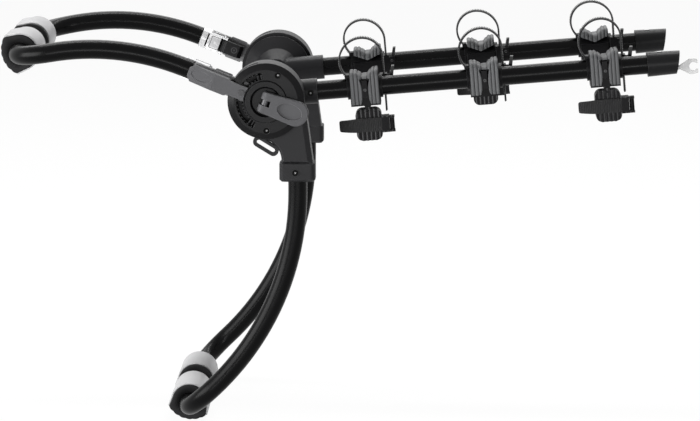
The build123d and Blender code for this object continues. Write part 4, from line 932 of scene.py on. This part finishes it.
FLOOR_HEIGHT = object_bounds()[0][2] - 0.0006
floor_mesh = bpy.data.meshes.new("studio_floor")
FLOOR_REACH = 40.0
FLOOR_CORNERS = [(x * FLOOR_REACH, y * FLOOR_REACH, FLOOR_HEIGHT)
                 for x, y in ((-1, -1), (1, -1), (1, 1), (-1, 1))]
floor_mesh.from_pydata(FLOOR_CORNERS, [], [(0, 1, 2, 3)])
floor = bpy.data.objects.new("studio_floor", floor_mesh)
bpy.context.scene.collection.objects.link(floor)
PALE = (1.0, 1.0, 1.0, 1)


def seen_directly(tree):
    """1 for rays from the camera, off gloss and through glass, 0 for light that falls on pieces."""
    rays = node(tree, "LightPath")
    seen = maths(tree, "MAXIMUM", rays.outputs["Is Camera Ray"], rays.outputs["Is Glossy Ray"])
    return maths(tree, "MAXIMUM", seen, rays.outputs["Is Transmission Ray"])


floor_paint = bpy.data.materials.new("studio_floor")
floor_paint.use_nodes = True
tree = floor_paint.node_tree
diffuse = tree.nodes["Principled BSDF"]
diffuse.inputs["Base Color"].default_value = (0.9, 0.9, 0.9, 1)
diffuse.inputs["Roughness"].default_value = 0.9
diffuse.inputs["Specular IOR Level"].default_value = 0.1
glow = node(tree, "Emission", Color=PALE, Strength=1.0)
blend = node(tree, "MixShader")
link(tree, maths(tree, "MULTIPLY", seen_directly(tree), 0.95), blend.inputs[0])
link(tree, diffuse.outputs["BSDF"], blend.inputs[1])
link(tree, glow.outputs["Emission"], blend.inputs[2])
link(tree, blend.outputs["Shader"], tree.nodes["Material Output"].inputs["Surface"])
floor_mesh.materials.append(floor_paint)

world = bpy.data.worlds.new("studio")
bpy.context.scene.world = world
world.use_nodes = True
tree = world.node_tree
backdrop = tree.nodes["Background"]
backdrop.inputs["Color"].default_value = PALE
link(tree, ramp(tree, seen_directly(tree), 0.0, 1.0, 0.1, 1.0), backdrop.inputs["Strength"])

LIGHTS = (("rear_strip", (0.25, 2.26, 2.37), (0.25, 0.0, 0.4), (3.5, 1.28), 50.0),
          ("front_strip", (0.25, -5.2, 0.33), (0.25, 0.0, 0.4), (4.0, 0.5), 105.0),
          ("left_box", (-2.5, -1.5, 0.8), (0.0, 0.0, 0.4), (2.6, 1.6), 110.0),
          ("top_strip", (0.25, 0.95, 3.2), (0.25, 0.0, 0.4), (3.5, 0.3), 85.0))
for name, spot, aim, size, power in LIGHTS:
    lamp = bpy.data.lights.new(name, "AREA")
    lamp.shape = "RECTANGLE"
    lamp.size, lamp.size_y = size
    lamp.energy = power
    holder = bpy.data.objects.new(name, lamp)
    holder.location = spot
    holder.rotation_euler = (Vector(aim) - Vector(spot)).to_track_quat("-Z", "Y").to_euler()
    bpy.context.scene.collection.objects.link(holder)

TURN, TILT, DISTANCE = math.radians(1.46), math.radians(10.64), 4.5
SENSOR, FOCAL_PIXELS, IMAGE_WIDTH = 36.0, 3000.0, 700.0
aim = Vector((HUB.x + 0.1245, -LEG_PLANE * MM, HUB.z - 0.1681))
level_reach = math.cos(TILT)
forward = Vector((-math.sin(TURN) * level_reach, math.cos(TURN) * level_reach, -math.sin(TILT)))
lens = bpy.data.cameras.new("photo_camera")
lens.sensor_width = SENSOR
lens.lens = SENSOR * FOCAL_PIXELS / IMAGE_WIDTH
camera = bpy.data.objects.new("photo_camera", lens)
camera.location = aim - forward * DISTANCE
camera.rotation_euler = forward.to_track_quat("-Z", "Y").to_euler()
bpy.context.scene.collection.objects.link(camera)
bpy.context.scene.camera = camera
bpy.context.scene.view_settings.view_transform = "Standard"
